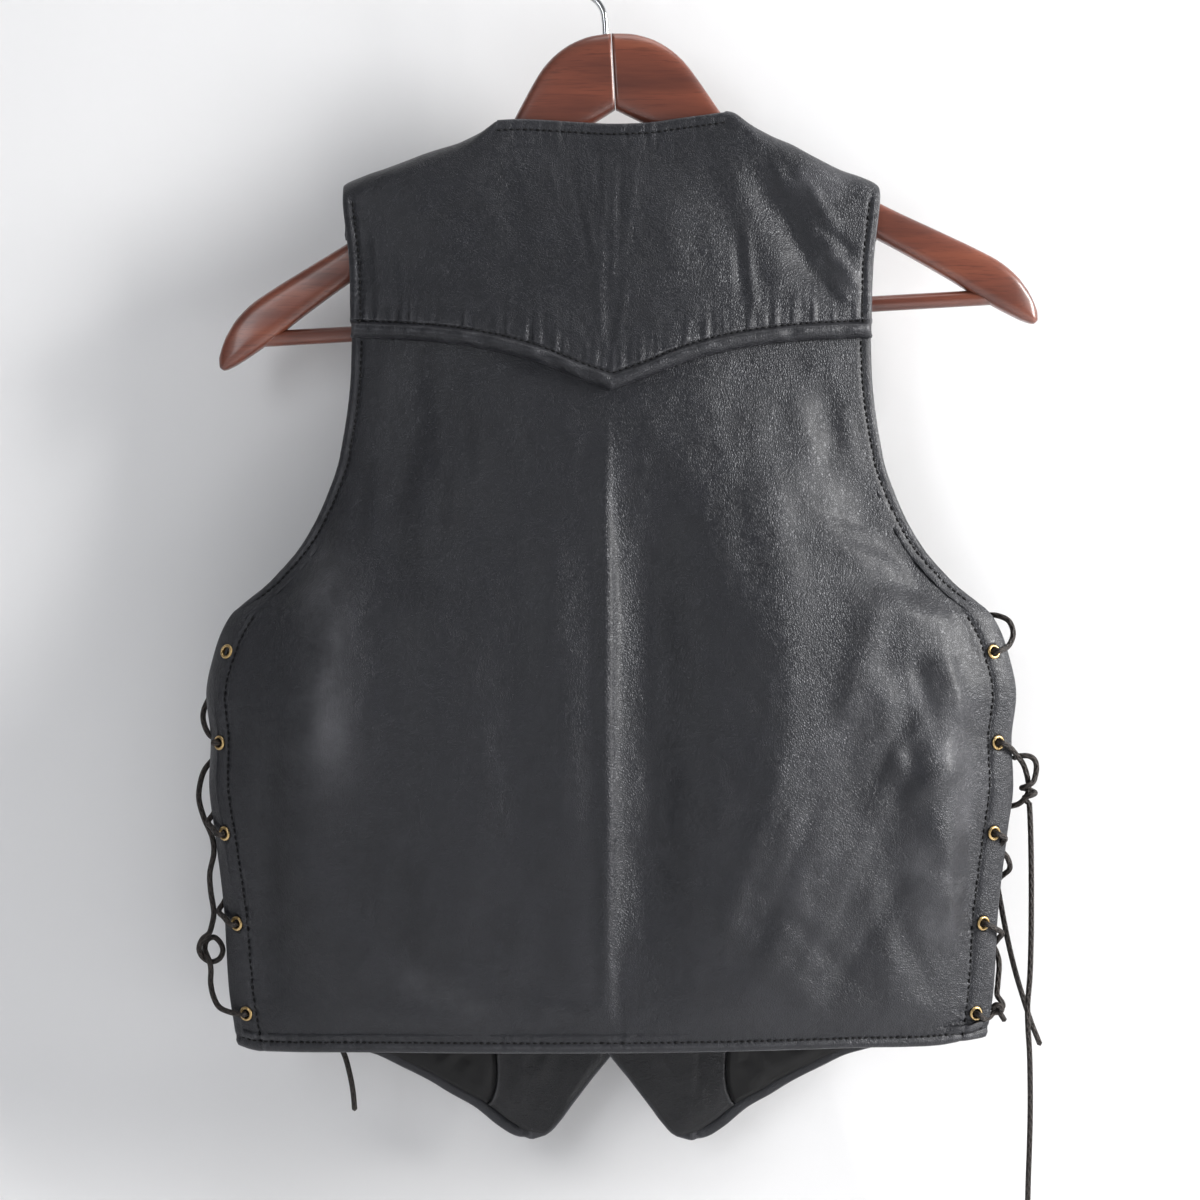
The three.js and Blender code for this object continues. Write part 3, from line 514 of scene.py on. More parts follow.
def group(name, inputs, outputs):
    """An effect used by several materials, with named inputs and outputs."""
    tree = bpy.data.node_groups.new(name, "ShaderNodeTree")
    tree.interface.new_socket(name="Place", in_out="INPUT", socket_type="NodeSocketVector")
    for label, value in inputs.items():
        socket = tree.interface.new_socket(
            name=label, in_out="INPUT", socket_type="NodeSocketFloat"
        )
        socket.default_value = value
    for label in outputs:
        tree.interface.new_socket(name=label, in_out="OUTPUT", socket_type="NodeSocketFloat")
    return tree, tree.nodes.new("NodeGroupInput").outputs, tree.nodes.new("NodeGroupOutput").inputs


def math_node(tree, operation, a, b=0.0, limit=False):
    made = new_node(tree, "ShaderNodeMath", operation=operation, use_clamp=limit)
    link(tree, made.inputs[0], a)
    link(tree, made.inputs[1], b)
    return made.outputs[0]


def ramp(tree, factor, *stops):
    """A colour by steps of (place, colour)."""
    made = tree.nodes.new("ShaderNodeValToRGB")
    tree.links.new(factor, made.inputs[0])
    while len(made.color_ramp.elements) < len(stops):
        made.color_ramp.elements.new(0.5)
    for element, (place, colour) in zip(made.color_ramp.elements, stops):
        element.position = place
        element.color = (*colour, 1)
    return made.outputs[0]


def span(tree, value, low, high, to_low=0.0, to_high=1.0):
    """Maps low to high onto a new range, and holds it there."""
    made = new_node(
        tree, "ShaderNodeMapRange", Value=value, From_Min=low, From_Max=high, To_Min=to_low
    )
    made.inputs["To Max"].default_value = to_high
    return made.outputs["Result"]


def mixed(tree, factor, a, b):
    made = new_node(tree, "ShaderNodeMix", data_type="RGBA")
    for index, value in ((0, factor), (6, a), (7, b)):
        link(tree, made.inputs[index], value)
    return made.outputs[2]


def clouds(tree, place, scale, detail, **values):
    made = new_node(
        tree, "ShaderNodeTexNoise", Vector=place, Scale=scale, Detail=detail, **values
    )
    return made.outputs["Fac"]


def relief(tree, height, distance, strength, **under):
    made = new_node(
        tree, "ShaderNodeBump", Height=height, Distance=distance, Strength=strength, **under
    )
    return made.outputs["Normal"]


def object_place(tree):
    return tree.nodes.new("ShaderNodeTexCoord").outputs["Object"]


def cell_edges(tree, place, scale, wide, *to):
    """0 at the edge of a place's cell and 1 inside it, or the range named."""
    cells = new_node(
        tree, "ShaderNodeTexVoronoi", feature="DISTANCE_TO_EDGE", Vector=place, Scale=scale
    )
    return span(tree, cells.outputs["Distance"], 0.0, wide, *to)


# Grain: pebbled cells with fine creases between them
def grain_group():
    inputs = {"Cells per metre": 900.0, "Crease depth": 0.5}
    tree, given, wanted = group("grain", inputs, ("Height", "Crease"))
    place = given["Place"]
    wobble = new_node(
        tree, "ShaderNodeTexNoise", Vector=place, Scale=260.0, Detail=1.0, Roughness=0.6
    )
    shift = new_node(tree, "ShaderNodeVectorMath", operation="MULTIPLY_ADD")
    for socket, value in zip(shift.inputs, (wobble.outputs["Color"], (0.0016,) * 3, place)):
        link(tree, socket, value)
    pebble = cell_edges(tree, shift.outputs[0], given["Cells per metre"], 0.28)
    crease = cell_edges(tree, shift.outputs[0], 170.0, 0.16, 1.0, 0.0)
    patch = span(tree, clouds(tree, place, 55.0, 1.0, Roughness=0.6), 0.42, 0.62)
    crease = math_node(tree, "MULTIPLY", crease, patch)
    cut = math_node(tree, "MULTIPLY", crease, given["Crease depth"])
    tree.links.new(math_node(tree, "SUBTRACT", pebble, cut), wanted["Height"])
    tree.links.new(crease, wanted["Crease"])
    return tree


# Wear and painted light: the places a mask marks, broken up by clouds, are painted paler, as wear
# and as painted highlight
def painted_light_and_wear_group():
    inputs = {"Raised": 0.0, "Patches per metre": 40.0}
    tree, given, wanted = group("painted_light_and_wear_marks", inputs, ("PaleByPaintedLightAndWear", "Cloud"))
    cloud = clouds(tree, given["Place"], given["Patches per metre"], 4.0, Roughness=0.62)
    rough = span(tree, cloud, 0.3, 0.7, 0.3)
    tree.links.new(math_node(tree, "MULTIPLY", given["Raised"], rough), wanted["PaleByPaintedLightAndWear"])
    tree.links.new(cloud, wanted["Cloud"])
    return tree


GRAIN = grain_group()
PAINTED_LIGHT_AND_WEAR = painted_light_and_wear_group()


def group_node(tree, effect, **values):
    return new_node(tree, "ShaderNodeGroup", node_tree=effect, **values).outputs


def finish(name, **values):
    """A material with constants on its own shader's sockets."""
    made = bpy.data.materials.new(name)
    made.use_nodes = True
    shader = made.node_tree.nodes["Principled BSDF"]
    feed(made.node_tree, shader, **values)
    return made, made.node_tree, shader


def leather_finish(name, dark, pale, pale_by_painted_light_and_wear, roughness, shine):
    """Grained leather: paler and smoother in clouds. Marked places are painted pale: wear and a
    painted highlight along sharp outward bends, and painted sheen on listed spots.
    """
    made, tree, shader = finish(
        name,
        IOR=1.48,
        Specular_IOR_Level=shine,
        Specular_Tint=(0.94, 0.955, 1),
        Coat_Weight=0.16,
        Coat_Roughness=0.36,
    )
    place = object_place(tree)
    painted_light_and_wear = new_node(tree, "ShaderNodeAttribute", attribute_name="painted_light_and_wear").outputs["Fac"]
    grain = group_node(tree, GRAIN, Place=place, Cells_per_metre=820.0, Crease_depth=0.7)
    painted_light_and_wear_marks = group_node(tree, PAINTED_LIGHT_AND_WEAR, Place=place, Raised=painted_light_and_wear, Patches_per_metre=60.0)
    # Painted shade: the grain's creases darken the colour
    crease = math_node(tree, "MULTIPLY", grain["Crease"], 0.3)
    tone = math_node(tree, "SUBTRACT", span(tree, painted_light_and_wear_marks["Cloud"], 0.3, 0.75), crease, True)
    soft = relief(tree, clouds(tree, place, 130.0, 2.0, Roughness=0.55), 0.0011, 0.55)
    feed(
        tree,
        shader,
        Base_Color=mixed(tree, painted_light_and_wear_marks["PaleByPaintedLightAndWear"], mixed(tree, tone, dark, pale), pale_by_painted_light_and_wear),
        Roughness=span(tree, painted_light_and_wear_marks["Cloud"], 0.3, 0.75, roughness + 0.05, roughness - 0.06),
        Normal=relief(tree, grain["Height"], 0.00025, 0.6, Normal=soft),
    )
    return made


leather = leather_finish(
    "leather", (0.0034, 0.0036, 0.0058), (0.0082, 0.0085, 0.0118), (0.07, 0.07, 0.077), 0.42, 0.5
)
# The facing's leather is painted darker than the back's: painted shade under the back's hem
facing_leather_painted_shade = leather_finish(
    "facing leather painted darker for shade",
    (0.002, 0.002, 0.0024),
    (0.0075, 0.0072, 0.008),
    (0.05, 0.05, 0.053),
    0.34,
    0.36,
)


def satin_finish():
    made, tree, shader = finish(
        "satin",
        IOR=1.45,
        Sheen_Weight=0.05,
        Sheen_Roughness=0.4,
        Specular_IOR_Level=0.32,
        Anisotropic=0.3,
        Roughness=0.3,
    )
    along = tree.nodes.new("ShaderNodeUVMap").outputs["UV"]
    weave = new_node(tree, "ShaderNodeTexWave", Vector=along, Scale=320.0, Distortion=0.4)
    tone = span(tree, clouds(tree, object_place(tree), 38.0, 3.0), 0.35, 0.7)
    feed(
        tree,
        shader,
        Base_Color=mixed(tree, tone, (0.0022, 0.0022, 0.0026), (0.006, 0.006, 0.0068)),
        Normal=relief(tree, weave.outputs["Fac"], 0.00005, 0.5),
    )
    return made


BRAID_PITCH, BRAID_STRANDS = 0.0052, 4


def lace_finish():
    """Braided cord: two sets of strands wind round it, one each way."""
    made, tree, shader = finish("lace", IOR=1.46, Roughness=0.62)
    split = new_node(
        tree, "ShaderNodeSeparateXYZ", Vector=tree.nodes.new("ShaderNodeUVMap").outputs["UV"]
    )
    along = math_node(tree, "MULTIPLY", split.outputs["Y"], 2 * math.pi / BRAID_PITCH)
    around = math_node(tree, "MULTIPLY", split.outputs["X"], 2 * math.pi * BRAID_STRANDS)
    strands = [
        math_node(tree, "SINE", math_node(tree, way, along, around)) for way in ("ADD", "SUBTRACT")
    ]
    braid = math_node(tree, "MAXIMUM", *strands)
    place = object_place(tree)
    # The raised strands are painted paler and the hollows between them darker: partly wear, partly
    # painted highlight and painted shade
    painted_light_and_wear = span(tree, braid, 0, 1)
    painted_light_and_wear_marks = group_node(tree, PAINTED_LIGHT_AND_WEAR, Place=place, Raised=painted_light_and_wear, Patches_per_metre=300.0)
    fray = relief(tree, clouds(tree, place, 1900.0, 2.0), 0.0002, 0.6)
    feed(
        tree,
        shader,
        Base_Color=mixed(tree, painted_light_and_wear_marks["PaleByPaintedLightAndWear"], (0.010, 0.008, 0.007), (0.042, 0.031, 0.026)),
        Normal=relief(tree, braid, 0.0004, 0.8, Normal=fray),
    )
    return made


def thread_finish():
    made, tree, shader = finish("thread", IOR=1.45, Specular_IOR_Level=0.3, Roughness=0.8)
    strands = clouds(tree, object_place(tree), 1400.0, 1.0)
    tone = span(tree, strands, 0.3, 0.7)
    feed(
        tree,
        shader,
        Base_Color=mixed(tree, tone, (0.0016, 0.0016, 0.002), (0.009, 0.009, 0.0098)),
        Normal=relief(tree, strands, 0.0001, 0.5),
    )
    return made


def metal_finish(name, patches, tones, dark, pale, roughness, scratches, strength):
    made, tree, shader = finish(name, Metallic=1.0)
    place = object_place(tree)
    cloud = group_node(tree, PAINTED_LIGHT_AND_WEAR, Place=place, Raised=1.0, Patches_per_metre=patches)["Cloud"]
    feed(
        tree,
        shader,
        Base_Color=mixed(tree, span(tree, cloud, *tones), dark, pale),
        Roughness=span(tree, cloud, 0.3, 0.7, *roughness),
        Normal=relief(tree, clouds(tree, place, scratches, 2.0), 0.00003, strength),
    )
    return made


def wood_finish(name, slope, deep, mid, pale):
    """Mahogany with its grain along an arm, under varnish."""
    made, tree, shader = finish(name, IOR=1.5, Coat_Roughness=0.2, Coat_IOR=1.5, Coat_Weight=0.6)
    place = object_place(tree)

    def stretched(scale):
        return new_node(
            tree, "ShaderNodeMapping", Vector=place, Rotation=(0, slope, 0), Scale=scale
        ).outputs[0]

    figure = clouds(tree, stretched((7, 40, 60)), 1.0, 4.0, Roughness=0.55)
    pores = clouds(tree, stretched((45, 900, 900)), 1.0, 2.0, Roughness=0.7)
    colour = ramp(tree, figure, (0.28, deep), (0.5, mid), (0.75, pale))
    feed(
        tree,
        shader,
        Base_Color=mixed(tree, span(tree, pores, 0.3, 0.48, 0.65, 0.0), colour, deep),
        Roughness=span(tree, figure, 0.3, 0.7, 0.42, 0.34),
        Normal=relief(tree, pores, 0.00005, 0.4),
    )
    return made


satin, lace_cord, thread = satin_finish(), lace_finish(), thread_finish()
brass = metal_finish(
    "brass", 320.0, (0.3, 0.72), (0.38, 0.25, 0.1), (0.68, 0.5, 0.25), (0.42, 0.24), 2500.0, 0.5
)
chrome = metal_finish(
    "chrome", 180.0, (0.35, 0.7), (0.52, 0.53, 0.55), (0.72, 0.73, 0.74), (0.22, 0.12), 900.0, 0.4
)


# Laces
LACE_OUTSIDE = LEATHER + LACE + LACE_CLEAR
LACE_INSIDE = -(LACE + LACE_CLEAR + LINING)


def opposite(which):
    return "front" if which == "back" else "back"


def gap_place(side, down, outward):
    middle = (flap_point("back", side, 1, down) + flap_point("front", side, 1, down)) / 2
    return middle + Vector((side * outward, 0, 0))


def through_eyelet(which, side, level):
    down = eyelet_down(level)
    lifts = (LACE_INSIDE, LEATHER / 2, LACE_OUTSIDE + 1.5)
    return [flap_place(which, side, down, EYELET_INSET, lift) for lift in lifts]


def over_edge(which, side, level, outward, loop=None, way=1):
    """Over one flap's edge and in under the other, a level down, or a level up if way is -1."""
    down, below = eyelet_down(level), eyelet_down(level + way)
    across_gap = [
        flap_place(which, side, down + 6 * way, -2, LACE_OUTSIDE - 0.2),
        flap_place(which, side, down + 10 * way, -LACE - LACE_CLEAR - 1, 0),
        gap_place(side, (down + below) / 2, outward),
        flap_place(opposite(which), side, below - 15 * way, 0, LACE_INSIDE),
    ]
    return [
        flap_place(which, side, down + 3 * way, 3, LACE_OUTSIDE),
        *(loop or across_gap),
        flap_place(opposite(which), side, below - 6 * way, 6, LACE_INSIDE - 1),
    ]


def right_strand(start, outward, loops, last_level):
    """One half of the right lace, from the top eyelet of a flap down to its last level."""
    points = [
        *reversed(through_eyelet(start, RIGHT, 0)),
        flap_place(start, RIGHT, EYELET_TOP + 9, 5, LACE_INSIDE - 1),
        gap_place(RIGHT, EYELET_TOP + EYELET_PITCH / 2, outward - 5),
        flap_place(opposite(start), RIGHT, eyelet_down(1) - 9, 5, LACE_INSIDE - 1),
    ]
    for level in range(1, last_level + 1):
        which = opposite(start) if level % 2 else start
        points += through_eyelet(which, RIGHT, level)
        if level < last_level:
            points += over_edge(which, RIGHT, level, outward, loops.get(level))
    return points


RIGHT_LOOP = spots(
    (221.5, -13, -450.5), (226, -9, -456), (228.5, -8, -464), (228.8, -7.5, -471),
    (224.5, -6, -477), (217.5, -3, -479.5),
)
THIRD_LOOP = spots(
    (212.4, -13.4, -499.6), (217.2, -10.6, -506.4), (218.8, -7.4, -512.2), (215.2, -3.6, -516.8),
)
TOP_BIGHT = spots(
    (217, -13.6, -391.6), (220, -11, -385.4), (218.6, -8, -378.8), (214.6, -5, -376),
    (208.6, 0.5, -375.6),
)


def right_lace():
    top_loop = [*TOP_BIGHT, flap_place("front", RIGHT, EYELET_TOP - 5, 3, LACE_OUTSIDE)]
    from_back = right_strand("back", 2.4, {2: THIRD_LOOP}, 3)
    from_front = right_strand("front", -2.4, {1: RIGHT_LOOP}, 4)
    return [*reversed(from_back), *top_loop, *from_front]


def right_lace_to_knot():
    down = eyelet_down(3)
    return [
        flap_place("front", RIGHT, down + 6, -2, LACE_OUTSIDE - 0.2),
        flap_place("front", RIGHT, down + 9, -LACE - LACE_CLEAR - 1, LACE_CLEAR),
        Vector((213.5, -4, -562)),
    ]


# The free ends of the laces
LONG_END = spots(
    (229.4, -7.2, -475.6), (230, -7, -486), (230.4, -7, -500), (230.6, -7, -517),
    (230.6, -7, -534), (230.4, -7, -553), (229.8, -7, -571), (228.6, -7, -586), (228.8, -7, -598),
    (229.6, -7, -611), (230, -7, -628), (230, -7, -645), (229.6, -7, -662), (229, -7, -679),
    (228.6, -7, -696), (228.6, -7, -717),
)
SHORT_END = spots(
    (213.2, 1.3, -520.1), (214.6, 1.3, -526.5), (215.9, 1, -534), (217.4, 0, -543),
    (219.7, -1, -555), (223, -2, -569), (227.2, -2, -583), (231.8, -2, -597), (236.6, -2, -609),
)
INNER_END = spots(
    (-189.2, -12.9, -587.7), (-187, -8.5, -587.5), (-183.2, -4.5, -588), (-177.2, -1.5, -589.4),
    (-170, 0.5, -591.5), (-162, 1.2, -594.6), (-154, 1.2, -599.2), (-147, 1, -605.6),
    (-142, 0.5, -613.8), (-139, 0, -623.6), (-137, 0, -634), (-136, 0, -645),
)


def lace_piece(name, points, replaces, step=1.2):
    """A lace through points, in pieces of a step. Gives its places."""
    places = course_through(points, step)
    return piece(name, tube(places, LACE, 12, 0.5), "lace", lace_cord, replaces), places


def free_end(name, points, node):
    made, places = lace_piece(name, points, (node,))


free_end("long_end", LONG_END, "lace_end_right_long")
free_end("short_end", SHORT_END, "lace_end_right_short")
free_end("inner_end", INNER_END, "lace_end_left_inner")

# The left lace climbs: it leaves each eyelet upwards, and one strand hangs slack to a knot
BIG_LOOP = spots(
    (-206.5, -14.2, -441.6), (-211.7, -12.5, -440.5), (-215.6, -9.5, -435.6),
    (-217.3, -6.5, -429.2), (-215.9, -3.5, -422.8), (-211.6, -1, -416.4),
)
TOP_TIP = spots((-208.6, 12.5, -396.5), (-209.8, 6.5, -396.2), (-208.9, 0.5, -396))
SLACK = spots(
    (-212.7, -1, -453.4), (-217.1, -4, -459.4), (-219.2, -7, -468.6), (-219.2, -8, -475),
    (-216.5, -8, -484.8), (-211.9, -9, -495), (-210.8, -10, -503.1), (-213.1, -9.5, -514.5),
    (-212.9, -8, -524.2), (-211.3, -7.5, -536.1),
)
LEFT_KNOT_TURNS = spots(
    (-212.2, -8.6, -542.6), (-213.4, -10, -546.7), (-216.8, -10.6, -549.6), (-218.9, -9.6, -555),
    (-217.2, -8, -559.9), (-212.7, -7, -562.6), (-208.4, -6.8, -560.9), (-206.5, -7, -556.6),
    (-207.9, -7, -552.3), (-211.7, -6, -549.4), (-215.6, -5.6, -551.6), (-216.4, -6.2, -555.8),
    (-214.6, -9.2, -559), (-212.8, -11.2, -562.2), (-212.5, -9.6, -566.6),
)
LEFT_KNOT_FOOT = spots((-212.8, -8.6, -573.9), (-211.1, -9.5, -580.9), (-207.4, -12.4, -586.1))


def climb(levels, outward):
    """Out through an eyelet of each level and flap, over the edge, and up to the next."""
    points = []
    for which, level in levels:
        points += through_eyelet(which, LEFT, level)
        points += over_edge(which, LEFT, level, outward, way=-1)
    return points


def left_climb():
    return [
        *climb((("front", 4), ("back", 3), ("front", 2)), -2.4),
        *through_eyelet("back", LEFT, 1),
        *BIG_LOOP,
        flap_place("front", LEFT, EYELET_TOP + 8, 6, LACE_INSIDE - 1),
        *through_eyelet("front", LEFT, 0),
        *TOP_TIP,
    ]


def left_slack():
    """From the knot's foot in by the back's lowest eyelet, up inside, and out to the knot."""
    return [
        *reversed(through_eyelet("back", LEFT, 4)),
        flap_place("back", LEFT, eyelet_down(4) - 9, 5, LACE_INSIDE - 1),
        gap_place(LEFT, (eyelet_down(3) + eyelet_down(4)) / 2, -3),
        flap_place("front", LEFT, eyelet_down(3) + 9, 5, LACE_INSIDE - 1),
        *climb((("front", 3), ("back", 2)), 2.4),
        *through_eyelet("front", LEFT, 1),
    ]


lace_piece("side_lace_left", left_climb(), ("lace_left",))
lace_piece("left_rising", left_slack(), ())
lace_piece(
    "left_knot",
    [
        flap_place("front", LEFT, eyelet_down(1) + 2, 3, LACE_OUTSIDE + 1),
        *SLACK,
        *LEFT_KNOT_TURNS,
        *LEFT_KNOT_FOOT,
        flap_place("back", LEFT, eyelet_down(4), EYELET_INSET - 1, LACE_OUTSIDE + 1),
    ],
    ("lace_left_to_knot", "knot_left", "lace_left_from_knot"),
    0.9,
)

# The right lace, its loop at the second eyelet with the hitch of the long end, and its low knot
RIGHT_HITCH = spots(
    (221.6, -4, -452.6), (224.1, -10.6, -451), (228.6, -12, -451.1), (231.8, -10.8, -453.5),
    (232.9, -9.2, -457.4), (232.4, -9, -461.6), (230.6, -11, -465.2), (227.2, -11.6, -467.2),
    (225.2, -8.4, -468.4), (227.4, -4.8, -469.2), (231, -4.9, -470.2), (232.4, -8.2, -471.2),
    (229.8, -11.2, -472.2), (226.6, -9.6, -473.4), (227.4, -6.4, -475), (229.3, -7.2, -477),
)
RIGHT_KNOT_TURNS = spots(
    (212.4, -7.6, -574), (211.9, -8.5, -580.5), (213.9, -10.6, -583.6), (214.8, -9.2, -586.2),
    (213.2, -6.6, -588.2), (210.4, -7.2, -588.4), (209.4, -10, -586.6), (211.2, -12, -584.8),
    (213.8, -11.4, -586.8), (213.2, -8.6, -589.4), (210, -8.8, -589.8), (207.4, -11.4, -591.4),
    (204.4, -14, -592.2),
)
RIGHT_STUB = spots((212.4, -8.6, -588.6), (214.2, -9.2, -591.4), (216, -9.6, -594.4))
lace_piece("side_lace_right", right_lace(), ("lace_right",))
lace_piece("right_hitch", RIGHT_HITCH, ("hitch_right",), 0.8)
lace_piece("right_knot_stub", RIGHT_STUB, ("knot_right",), 0.8)
lace_piece(
    "right_knot",
    [*right_lace_to_knot(), *RIGHT_KNOT_TURNS, *reversed(through_eyelet("back", RIGHT, 4))],
    ("lace_right_to_eyelet",),
    0.9,
)


# Cloth
def evened(shares, down=480):
    """Turns shares of the leather's length into shares of a back section."""
    walked = walked_along([back_point(i / 1000, down) for i in range(1001)])
    found = []
    for share in shares:
        target = share * walked[-1]
        i = min(max(bisect.bisect_left(walked, target), 1), 1000)
        found.append((i - 1 + (target - walked[i - 1]) / (walked[i] - walked[i - 1])) / 1000)
    return found


def both_ways(shares):
    return [-share for share in reversed(shares[1:])] + list(shares)


def cloth_grid(columns, rows, place, outward):
    """A grid of cloth in millimetres that faces outward, with each vertex's column and row."""
    wide, long = len(columns) - 1, len(rows) - 1
    bm = unit_grid("cut", wide, long)
    cells = {}
    for vert in bm.verts:
        column = columns[round((vert.co.x + 0.5) * wide)]
        row = rows[round((vert.co.y + 0.5) * long)]
        cells[vert] = (column, row)
    for vert, cell in cells.items():
        vert.co = place(*cell)
    bmesh.ops.recalc_face_normals(bm, faces=bm.faces)
    bm.normal_update()
    total = Vector()
    for face in bm.faces:
        total += face.normal * face.calc_area()
    if total.dot(outward) < 0:
        bmesh.ops.reverse_faces(bm, faces=bm.faces)
        bm.normal_update()
    return bm, cells


def lift_off(bm, cells, rise):
    """Moves each vertex out along its normal."""
    bm.normal_update()
    moves = [
        (vert, vert.normal * rise(*cell, vert.co)) for vert, cell in cells.items() if vert.is_valid
    ]
    for vert, move in moves:
        vert.co += move
    bm.normal_update()


def punch_eyelets(bm, which, side):
    """A row of round holes through a flap."""
    for level in range(EYELETS):
        centre, normal, _ = flap_frame(which, side, eyelet_down(level), EYELET_INSET)

        def offset(place):
            """How far off the flap, and across it, a place lies from the hole's centre."""
            gap = place - centre
            height = gap.dot(normal)
            return height, gap - normal * height

        near = []
        for face in bm.faces:
            height, flat = offset(face.calc_center_median())
            if abs(height) < HOLE_REACH and flat.length < EYELET_HOLE * 0.88:
                near.append(face)
        bmesh.ops.delete(bm, geom=near, context="FACES")
        rim = set()
        for edge in bm.edges:
            if edge.is_boundary:
                for vert in edge.verts:
                    height, flat = offset(vert.co)
                    if abs(height) < HOLE_REACH and flat.length < EYELET_HOLE * 1.8:
                        rim.add(vert)
        for vert in rim:
            height, flat = offset(vert.co)
            vert.co = centre + normal * height + flat.normalized() * EYELET_HOLE


def rim_edges(bm, cells, sides, ends):
    """The open edges of a grid along the sides and ends named by their column and row."""
    return [
        edge
        for edge in bm.edges
        if edge.is_boundary
        and any(
            all(cells[vert][axis] in wanted for vert in edge.verts)
            for axis, wanted in enumerate((sides, ends))
        )
    ]


def turn_edge(bm, edges, radius=EDGE_ROLL, tuck=9.0, steps=6):
    """Rolls open edges of a sheet round to its inner side, as a turned leather edge."""
    bm.normal_update()
    edges = [edge for edge in edges if edge.is_boundary]
    away, normals = {}, {}
    for edge in edges:
        face = edge.link_faces[0]
        middle = (edge.verts[0].co + edge.verts[1].co) / 2
        along = (edge.verts[1].co - edge.verts[0].co).normalized()
        out = along.cross(face.normal).normalized()
        if out.dot(middle - face.calc_center_median()) < 0:
            out.negate()
        for vert in edge.verts:
            away[vert] = away.get(vert, Vector()) + out
            normals[vert] = vert.normal.copy()
    frames = {}
    for vert, out in away.items():
        normal = normals[vert]
        flat = (out - normal * out.dot(normal)).normalized()
        frames[vert] = (vert.co.copy(), flat, normal)
    current = dict(frames)
    plan = []
    for i in range(1, steps + 1):
        angle = math.pi * i / steps
        plan.append((radius * math.sin(angle), -radius * (1 - math.cos(angle))))
    plan.append((-tuck * 0.4, -2 * radius))
    plan.append((-tuck, -2 * radius))
    loop = edges
    for out_by, down_by in plan:
        made = bmesh.ops.extrude_edge_only(bm, edges=loop)["geom"]
        fresh = [item for item in made if isinstance(item, bmesh.types.BMVert)]
        following = {}
        for vert in fresh:
            others = (edge.other_vert(vert) for edge in vert.link_edges)
            following[vert] = next(current[other] for other in others if other in current)
            origin, flat, normal = following[vert]
            vert.co = origin + flat * out_by + normal * down_by
        loop = [
            item
            for item in made
            if isinstance(item, bmesh.types.BMEdge)
            and all(vert in following for vert in item.verts)
        ]
        current = following


def mark_painted_light_and_wear(bm, painted_sheen_spots):
    """Keeps how pale each place is painted: where it bends outwards sharply, as wear and a painted
    highlight, and on spots of painted sheen.
    """
    bm.normal_update()
    layer = bm.verts.layers.float.new("painted_light_and_wear")
    for vert in bm.verts:
        spans = [edge.other_vert(vert).co - vert.co for edge in vert.link_edges]
        bend = [-2 * gap.dot(vert.normal) / max(gap.length_squared, 0.05) for gap in spans]
        pale_by_painted_light_and_wear = clamp((sum(bend) / max(len(bend), 1) - 0.1) / 0.35)
        vert[layer] = clamp(pale_by_painted_light_and_wear + fold_rise(vert.co.x - CENTRE_X, -vert.co.z, painted_sheen_spots))


def to_metres(bm):
    bmesh.ops.scale(bm, vec=(MM, MM, MM), verts=bm.verts)
    return bm


def cloth_piece(name, bm, slot, made_of, replaces, thickness=SKIN, painted_sheen_spots=()):
    """A sheet as an object with its thickness on its inner side."""
    mark_painted_light_and_wear(bm, painted_sheen_spots)
    made = piece(name, to_metres(bm), slot, made_of, replaces)
    solid = made.modifiers.new("Solidify", "SOLIDIFY")
    solid.thickness, solid.offset = thickness * MM, -1.0
    return made


def wander(a, b=0.0, c=0.0):
    """Smooth noise, about -1 to 1."""
    return 2.0 * noise.noise(Vector((a, b, c)))


def pucker(along, aside, seed, depth=0.55, reach=9.0):
    """Short gathers drawn in by a line of stitches."""
    wave = wander(along / 3.4, seed) + 0.5 * wander(along / 1.9, seed + 7)
    far = reach * (0.75 + 0.55 * wander(along / 6.5, seed + 13))
    return depth * wave * math.exp(-((aside / max(far, 2.0)) ** 2))


def groove(aside, depth=0.6, wide=1.25):
    """The line that stitches draw in."""
    return -depth * math.exp(-((aside / wide) ** 2))


def crest(aside, height=0.5, wide=1.0):
    """The ridge that stands up between stitches and a turned edge."""
    return height * math.exp(-((aside / wide) ** 2))


def drawn_in(along, aside, seed, depth, reach):
    """What a row of stitches does to the leather beside it."""
    return pucker(along, abs(aside), seed, depth, reach) + groove(aside)


def edge_down(across):
    """The level of the yoke's lower edge."""
    return yoke_edge(abs(back_point(across, YOKE_LEVEL).x - CENTRE_X))


neck_share = share_at(NECK_HALF, lambda share: back_point(share, NECK_LEVEL).x - CENTRE_X)


# Back panel
def crumple(out, down):
    """Uneven softness of worn leather."""
    slow = wander(out / 52, down / 110, 3) * 1.1
    mid = wander(out / 19, down / 36, 9) * 0.4
    fine = wander(out / 8, down / 12, 21) * 0.1
    return slow + mid + fine


@functools.lru_cache(maxsize=None)
def edge_place(side, down):
    return back_point(side, down)


def inset_of(point):
    """How far a place of the back lies from its side edge."""
    side = LEFT if point.x < CENTRE_X else RIGHT
    return (point - edge_place(side, round(-point.z, 0))).length


def fine_rows(long, near, step, wide_step, end_too=False):
    """Shares along a length: a fine step near its start, and near its end too if asked."""
    places = [0.0]
    while places[-1] < 1 - 1e-9:
        here = places[-1] * long
        fine = here < near or (end_too and here > long - near - wide_step)
        places.append(min(1.0, places[-1] + (step if fine else wide_step) / long))
    if places[-1] - places[-2] < 0.3 * step / long:
        del places[-2]
    return places


